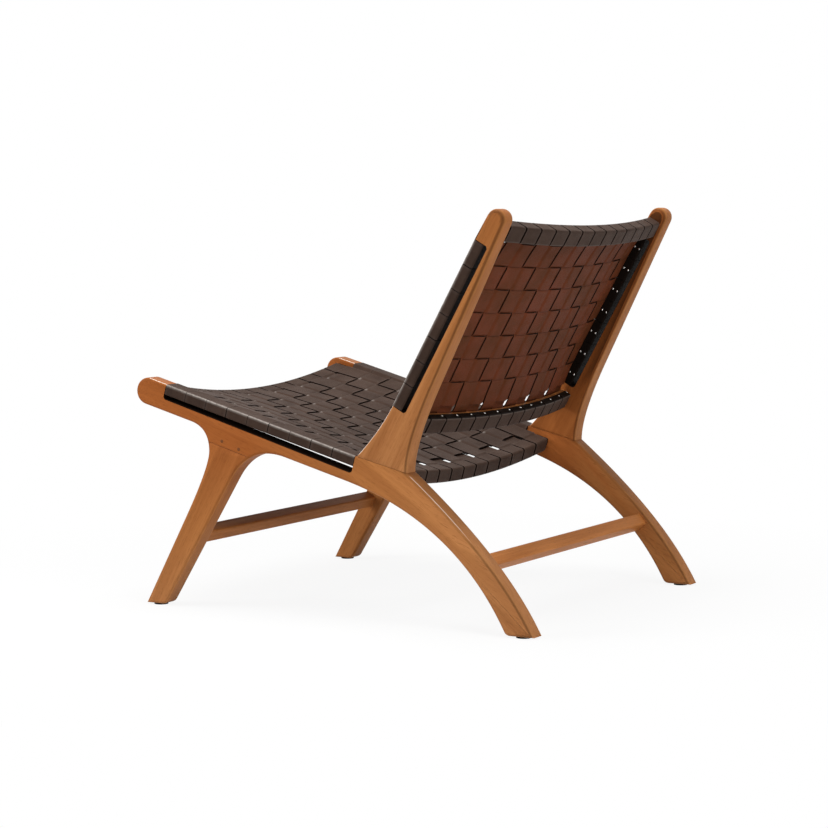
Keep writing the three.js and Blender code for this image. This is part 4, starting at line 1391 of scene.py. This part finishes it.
def side_vector(yz):
    """A side-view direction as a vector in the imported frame."""
    return np.array([0.0, yz[0], yz[1]])


class CHAIR_OT_tacks(bpy.types.Operator):
    """Tack heads at the straps' ends on the cross rails and inside the bars"""

    bl_idname = "chair.tacks"
    bl_label = "Tacks"

    def execute(self, context):
        weave = context.scene.chair_weave
        radius, height = weave.tack_radius / MM, weave.tack_height / MM
        under, behind = RAIL_FAR + TACK_STAND, RAIL_FAR - TACK_INSET
        rail_tacks = {
            "tacks_seat_front": (SEAT, SEAT_FRONT_RAIL - RAIL_REACH + TACK_INSET, under, SEAT.below),
            "tacks_seat_rear": (SEAT, SEAT_REAR_RAIL + RAIL_REACH - TACK_INSET, under, SEAT.below),
            "tacks_back_bottom": (BACK, BACK_BOTTOM_RAIL + RAIL_REACH + TACK_STAND, behind, BACK.along),
            "tacks_back_top": (BACK, BACK_TOP_RAIL - RAIL_REACH - TACK_STAND, behind, -BACK.along),
        }
        across = np.tile([1.0, 0.0, 0.0], (COLUMNS, 1))
        for name, (panel, s, d, up) in rail_tacks.items():
            parts = MeshParts()
            x = column_x(np.arange(COLUMNS)) - TACK_SHIFT[name]
            places = panel.place(x, s, d + panel.hollow(x, s))
            add_heads(parts, places, across, np.tile(side_vector(up), (COLUMNS, 1)), radius, height)
            make_piece(name, parts, [tack_material()])
        for panel in (SEAT, BACK):
            s = np.repeat((np.arange(panel.rows) + 0.5) * panel.pitch, len(BAR_TACKS))
            d = np.tile(BAR_TACKS, panel.rows)
            along = np.tile(side_vector(panel.along), (len(s), 1))
            for side, sign in SIDES.items():
                parts = MeshParts()
                places = panel.place(sign * (HALF - BAR_TACK_STAND), s, d)
                add_heads(parts, places, along, np.tile([-sign, 0.0, 0.0], (len(s), 1)), radius, height)
                make_piece(f"tacks_{panel.name}_{side}", parts, [tack_material()])
        return {"FINISHED"}


class CHAIR_OT_pegs(bpy.types.Operator):
    """Dark pegs through the front legs' joints"""

    bl_idname = "chair.pegs"
    bl_label = "Pegs"

    def execute(self, context):
        radius = context.scene.chair_frame.peg_radius / MM
        count = len(PEG_PLACES)
        across = np.tile(side_vector(SEAT.along), (count, 1))
        for side, sign in SIDES.items():
            parts = MeshParts()
            for x, outward in ((HALF + PLANK, 1.0), (HALF, -1.0)):
                up = np.tile([sign * outward, 0.0, 0.0], (count, 1))
                add_heads(parts, lift(sign * x, PEG_PLACES), across, up, radius, PEG_RISE)
            extra = {"grain": np.concatenate(parts.vertices)}
            make_piece(f"leg_pegs_{side}", parts, [peg_material()], extra)
        return {"FINISHED"}


class CHAIR_OT_glides(bpy.types.Operator):
    """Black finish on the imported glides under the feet"""

    bl_idname = "chair.glides"
    bl_label = "Glides"

    def execute(self, context):
        for side in SIDES:
            for end in ("front", "rear"):
                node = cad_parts[f"{end}_glide_{side}"]
                node.data.materials.clear()
                node.data.materials.append(rubber_material())
        return {"FINISHED"}


# Stage


def seen_directly(tree):
    """1 for rays from the camera, reflected ones and ones through glass, 0 for rays that only light."""
    ray = add_node(tree, "ShaderNodeLightPath").outputs
    turned = math_node(tree, "MAXIMUM", ray["Is Glossy Ray"], ray["Is Transmission Ray"])
    return math_node(tree, "MAXIMUM", ray["Is Camera Ray"], turned)


def floor_material(color):
    """Pale floor that the camera sees nearly white, with the chair's shadow kept."""
    material, tree, shader = new_material("studio_floor")
    if tree is None:
        return material
    shader.inputs["Base Color"].default_value = rgba(color)
    shader.inputs["Roughness"].default_value = 0.9
    shader.inputs["Specular IOR Level"].default_value = 0.0
    glow = add_node(tree, "ShaderNodeEmission", {"Color": WHITE, "Strength": 1.0})
    place = add_node(tree, "ShaderNodeTexCoord").outputs["Object"]
    far = add_node(tree, "ShaderNodeVectorMath", {0: place}, operation="LENGTH").outputs["Value"]
    share = math_node(tree, "MULTIPLY", seen_directly(tree), remap(tree, far, FLOOR_FADE, FLOOR_WHITE))
    mix = add_node(tree, "ShaderNodeMixShader", {0: share, 1: shader.outputs[0], 2: glow.outputs[0]})
    tree.links.new(mix.outputs[0], tree.nodes["Material Output"].inputs["Surface"])
    return material


def studio_world(strength):
    """White to the camera, and an even soft light to everything else."""
    world = bpy.context.scene.world or bpy.data.worlds.new("studio")
    bpy.context.scene.world = world
    world.use_nodes = True
    tree = world.node_tree
    tree.nodes.clear()
    power = math_node(tree, "MULTIPLY_ADD", seen_directly(tree), 1.0 - strength, strength)
    back = add_node(tree, "ShaderNodeBackground", {"Color": WHITE, "Strength": power})
    output = tree.nodes.new("ShaderNodeOutputWorld")
    tree.links.new(back.outputs[0], output.inputs["Surface"])


def look_matrix(place, look, roll=0.0):
    """A camera's or lamp's matrix: right, up and backward columns from its look and roll."""
    right = np.cross(look, [0.0, 0.0, 1.0])
    right /= np.linalg.norm(right)
    up = np.cross(right, look)
    turned = right * math.cos(roll) + up * math.sin(roll)
    raised = up * math.cos(roll) - right * math.sin(roll)
    matrix = np.eye(4)
    matrix[:3, :3] = np.stack([turned, raised, -look], -1)
    matrix[:3, 3] = place
    return Matrix(matrix.tolist())


def soft_lamp(name, place, target, energy):
    """A square soft box that faces its target."""
    data = bpy.data.lights.new(name, "AREA")
    data.shape = "SQUARE"
    data.size = LAMP_SIZE
    data.energy = energy
    lamp = bpy.data.objects.new(name, data)
    bpy.context.scene.collection.objects.link(lamp)
    look = np.subtract(target, place)
    lamp.matrix_world = look_matrix(place, look / np.linalg.norm(look))


def photo_camera(lens):
    """The photograph's camera: its look is (-cos yaw cos pitch, -sin yaw cos pitch, -sin pitch)."""
    yaw, pitch = math.radians(CAMERA_YAW), math.radians(CAMERA_PITCH)
    look = -np.array([math.cos(yaw) * math.cos(pitch), math.sin(yaw) * math.cos(pitch), math.sin(pitch)])
    data = bpy.data.cameras.new("photo_camera")
    data.sensor_width = CAMERA_SENSOR
    data.lens = lens
    data.clip_end = CAMERA_CLIP
    camera = bpy.data.objects.new("photo_camera", data)
    bpy.context.scene.collection.objects.link(camera)
    camera.matrix_world = look_matrix(CAMERA_PLACE, look, math.radians(CAMERA_ROLL))
    return camera


class CHAIR_OT_stage(bpy.types.Operator):
    """Pale floor, soft lamps and the photograph's camera"""

    bl_idname = "chair.stage"
    bl_label = "Stage"

    def execute(self, context):
        studio = context.scene.chair_studio
        mesh = bpy.data.meshes.new("studio_floor")
        corners = np.array([[-1, -1, 0], [1, -1, 0], [1, 1, 0], [-1, 1, 0]]) * studio.floor_reach
        mesh.from_pydata(corners.tolist(), [], [[0, 1, 2, 3]])
        mesh.materials.append(floor_material(studio.floor_color))
        floor = bpy.data.objects.new("studio_floor", mesh)
        context.scene.collection.objects.link(floor)
        studio_world(studio.ambient)
        for setting, (name, place, target) in LAMPS.items():
            soft_lamp(name, place, target, getattr(studio, setting))
        context.scene.camera = photo_camera(studio.lens)
        context.scene.view_settings.view_transform = "Standard"
        return {"FINISHED"}


# Settings


def length_setting(name, description, millimetres):
    """A length setting in metres, given in millimetres."""
    return bpy.props.FloatProperty(
        name=name, description=description, default=millimetres * MM, min=0.0, precision=4, unit="LENGTH"
    )


def color_setting(name, description, color):
    """A colour setting."""
    return bpy.props.FloatVectorProperty(
        name=name, description=description, default=color, size=3, min=0.0, max=1.0, subtype="COLOR"
    )


class ChairFrameSizes(bpy.types.PropertyGroup):
    """Roundings of the teak frame"""

    edge_round: length_setting("Edge Round", "Radius along the planks' free edges", 5.0)
    crown_round: length_setting("Crown Round", "Radius round the posts' tops", 8.5)
    brow_round: length_setting("Brow Round", "Radius of the posts' front edges above the straps", 2.6)
    slot_round: length_setting("Slot Round", "Radius along the slots and joints", 0.35)
    sill_round: length_setting("Sill Round", "Radius along the slots' far walls", 2.0)
    rail_round: length_setting("Rail Round", "Radius along the stretchers and cross rails", 3.5)
    peg_radius: length_setting("Peg Radius", "Radius of the pegs in the front legs' joints", 3.2)


class ChairWeaveSizes(bpy.types.PropertyGroup):
    """Straps and tacks"""

    strap_thick: length_setting("Strap Thickness", "Thickness of the leather", 2.0)
    column_gap: length_setting("Column Gap", "Gap between lengthwise straps", 2.8)
    row_gap: length_setting("Row Gap", "Gap between cross straps", 0.6)
    strap_rise: length_setting("Lengthwise Rise", "How far lengthwise straps rise and fall in the weave", 1.8)
    cross_rise: length_setting("Cross Rise", "How far cross straps step between the columns", 0.4)
    crown: length_setting("Crown", "Arch of a cross strap over each column", 2.2)
    bar_round: length_setting("Bar Wrap Round", "Radius of a strap's turns round the bars", 1.6)
    wrap_round: length_setting("Wrap Round", "Radius of a strap's turns round the cross rails", 3.4)
    tack_radius: length_setting("Tack Radius", "Radius of the tack heads", 2.0)
    tack_height: length_setting("Tack Height", "Rise of the tack heads", 0.9)


class ChairFinish(bpy.types.PropertyGroup):
    """Colours"""

    teak_light: color_setting("Teak Light", "Pale wood between the bands", (0.48, 0.190, 0.058))
    teak_dark: color_setting("Teak Dark", "Dark bands and streaks", (0.25, 0.082, 0.021))
    teak_pore: color_setting("Teak Pore", "Short dark pores", (0.10, 0.030, 0.009))
    # Also the painted highlight beside the dark edge lines
    teak_worn_and_highlight: color_setting("Teak Worn", "Rubbed edges", (0.62, 0.30, 0.110))
    # Painted highlight standing for the white background's grazing reflection on the nose, elbow and post toe
    # edges
    teak_gleam: color_setting("Teak Gleam", "Bright line along the posts' front edges", (1.0, 0.92, 0.84))
    # Dark staining at joints, and painted shade in slots, along edges and on shaded faces
    teak_stain_and_shade: color_setting("Teak Stain", "Darkened slots, joints and edge lines", (0.012, 0.006, 0.004))
    peg: color_setting("Peg", "Pegs in the joints", (0.07, 0.028, 0.011))
    leather: color_setting("Leather", "Grain side of the straps", (0.076, 0.047, 0.035))
    # Also painted shade on the wraps' outer faces
    leather_shade: color_setting("Leather Shade", "Darker mottling of the grain side", (0.043, 0.0265, 0.020))
    # Also painted highlights along the wraps' corners
    leather_worn: color_setting("Leather Worn", "Rubbed strap edges", (0.50, 0.45, 0.41))
    reverse: color_setting("Reverse", "Back of the straps", (0.164, 0.040, 0.0172))
    reverse_shade: color_setting("Reverse Shade", "Darker mottling of the reverse", (0.084, 0.030, 0.011))
    # Also painted highlights along the reverse's edges
    reverse_worn_and_highlight: color_setting("Reverse Worn", "Rubbed edges of the reverse", (0.30, 0.115, 0.06))
    cut_edge: color_setting("Cut Edge", "Cut edges of the straps", (0.018, 0.008, 0.005))
    # Also the painted shade on the straps' tails
    cut_shade: color_setting("Cut Shade", "Darker mottling of the cut edges", (0.006, 0.004, 0.003))
    tack: color_setting("Tack", "Tack heads", (0.90, 0.88, 0.85))


class ChairStudio(bpy.types.PropertyGroup):
    """Camera, lamps and floor"""

    lens: bpy.props.FloatProperty(
        name="Lens", description="Focal length of the camera",
        default=106.36, min=10.0, subtype="DISTANCE_CAMERA",
    )
    floor_reach: bpy.props.FloatProperty(
        name="Floor Reach", description="Half the floor's width", default=30.0, min=1.0, unit="LENGTH"
    )
    floor_color: color_setting("Floor", "Floor colour", (0.8, 0.8, 0.8))
    ambient: bpy.props.FloatProperty(
        name="Ambient", description="Light from all round", default=0.25, min=0.0
    )
    overhead: bpy.props.FloatProperty(
        name="Overhead", description="Soft box above the chair", default=75.0, min=0.0, unit="POWER"
    )
    key: bpy.props.FloatProperty(
        name="Key", description="Soft box on the chair's left, before it", default=84.0, min=0.0, unit="POWER"
    )
    fill: bpy.props.FloatProperty(
        name="Fill", description="Soft box behind the camera", default=54.0, min=0.0, unit="POWER"
    )


SETTINGS = {
    "chair_frame": ChairFrameSizes,
    "chair_weave": ChairWeaveSizes,
    "chair_finish": ChairFinish,
    "chair_studio": ChairStudio,
}
STEPS = (
    CHAIR_OT_stage,
    CHAIR_OT_side_frames,
    CHAIR_OT_stretchers,
    CHAIR_OT_cross_rails,
    CHAIR_OT_length_straps,
    CHAIR_OT_cross_straps,
    CHAIR_OT_tacks,
    CHAIR_OT_pegs,
    CHAIR_OT_glides,
)


class CHAIR_PT_panel(bpy.types.Panel):
    """Lists the chair's steps and settings in the sidebar"""

    bl_label = "Lounge Chair"
    bl_idname = "CHAIR_PT_panel"
    bl_space_type = "VIEW_3D"
    bl_region_type = "UI"
    bl_category = "Lounge Chair"

    def draw(self, context):
        for step in STEPS:
            self.layout.operator(step.bl_idname)
        for key in SETTINGS:
            group = getattr(context.scene, key)
            box = self.layout.box()
            for name in group.bl_rna.properties.keys():
                if name not in ("rna_type", "name"):
                    box.prop(group, name)


CLASSES = (*SETTINGS.values(), *STEPS, CHAIR_PT_panel)


def register():
    """Adds the classes, and the settings to the scene."""
    for cls in CLASSES:
        bpy.utils.register_class(cls)
    for key, cls in SETTINGS.items():
        setattr(bpy.types.Scene, key, bpy.props.PointerProperty(type=cls))


def unregister():
    """Takes the settings and the classes away again."""
    for key in SETTINGS:
        delattr(bpy.types.Scene, key)
    for cls in reversed(CLASSES):
        bpy.utils.unregister_class(cls)


def main():
    """Runs every step in order."""
    register()
    for step in STEPS:
        group, name = step.bl_idname.split(".")
        getattr(getattr(bpy.ops, group), name)()


if __name__ == "__main__":
    main()
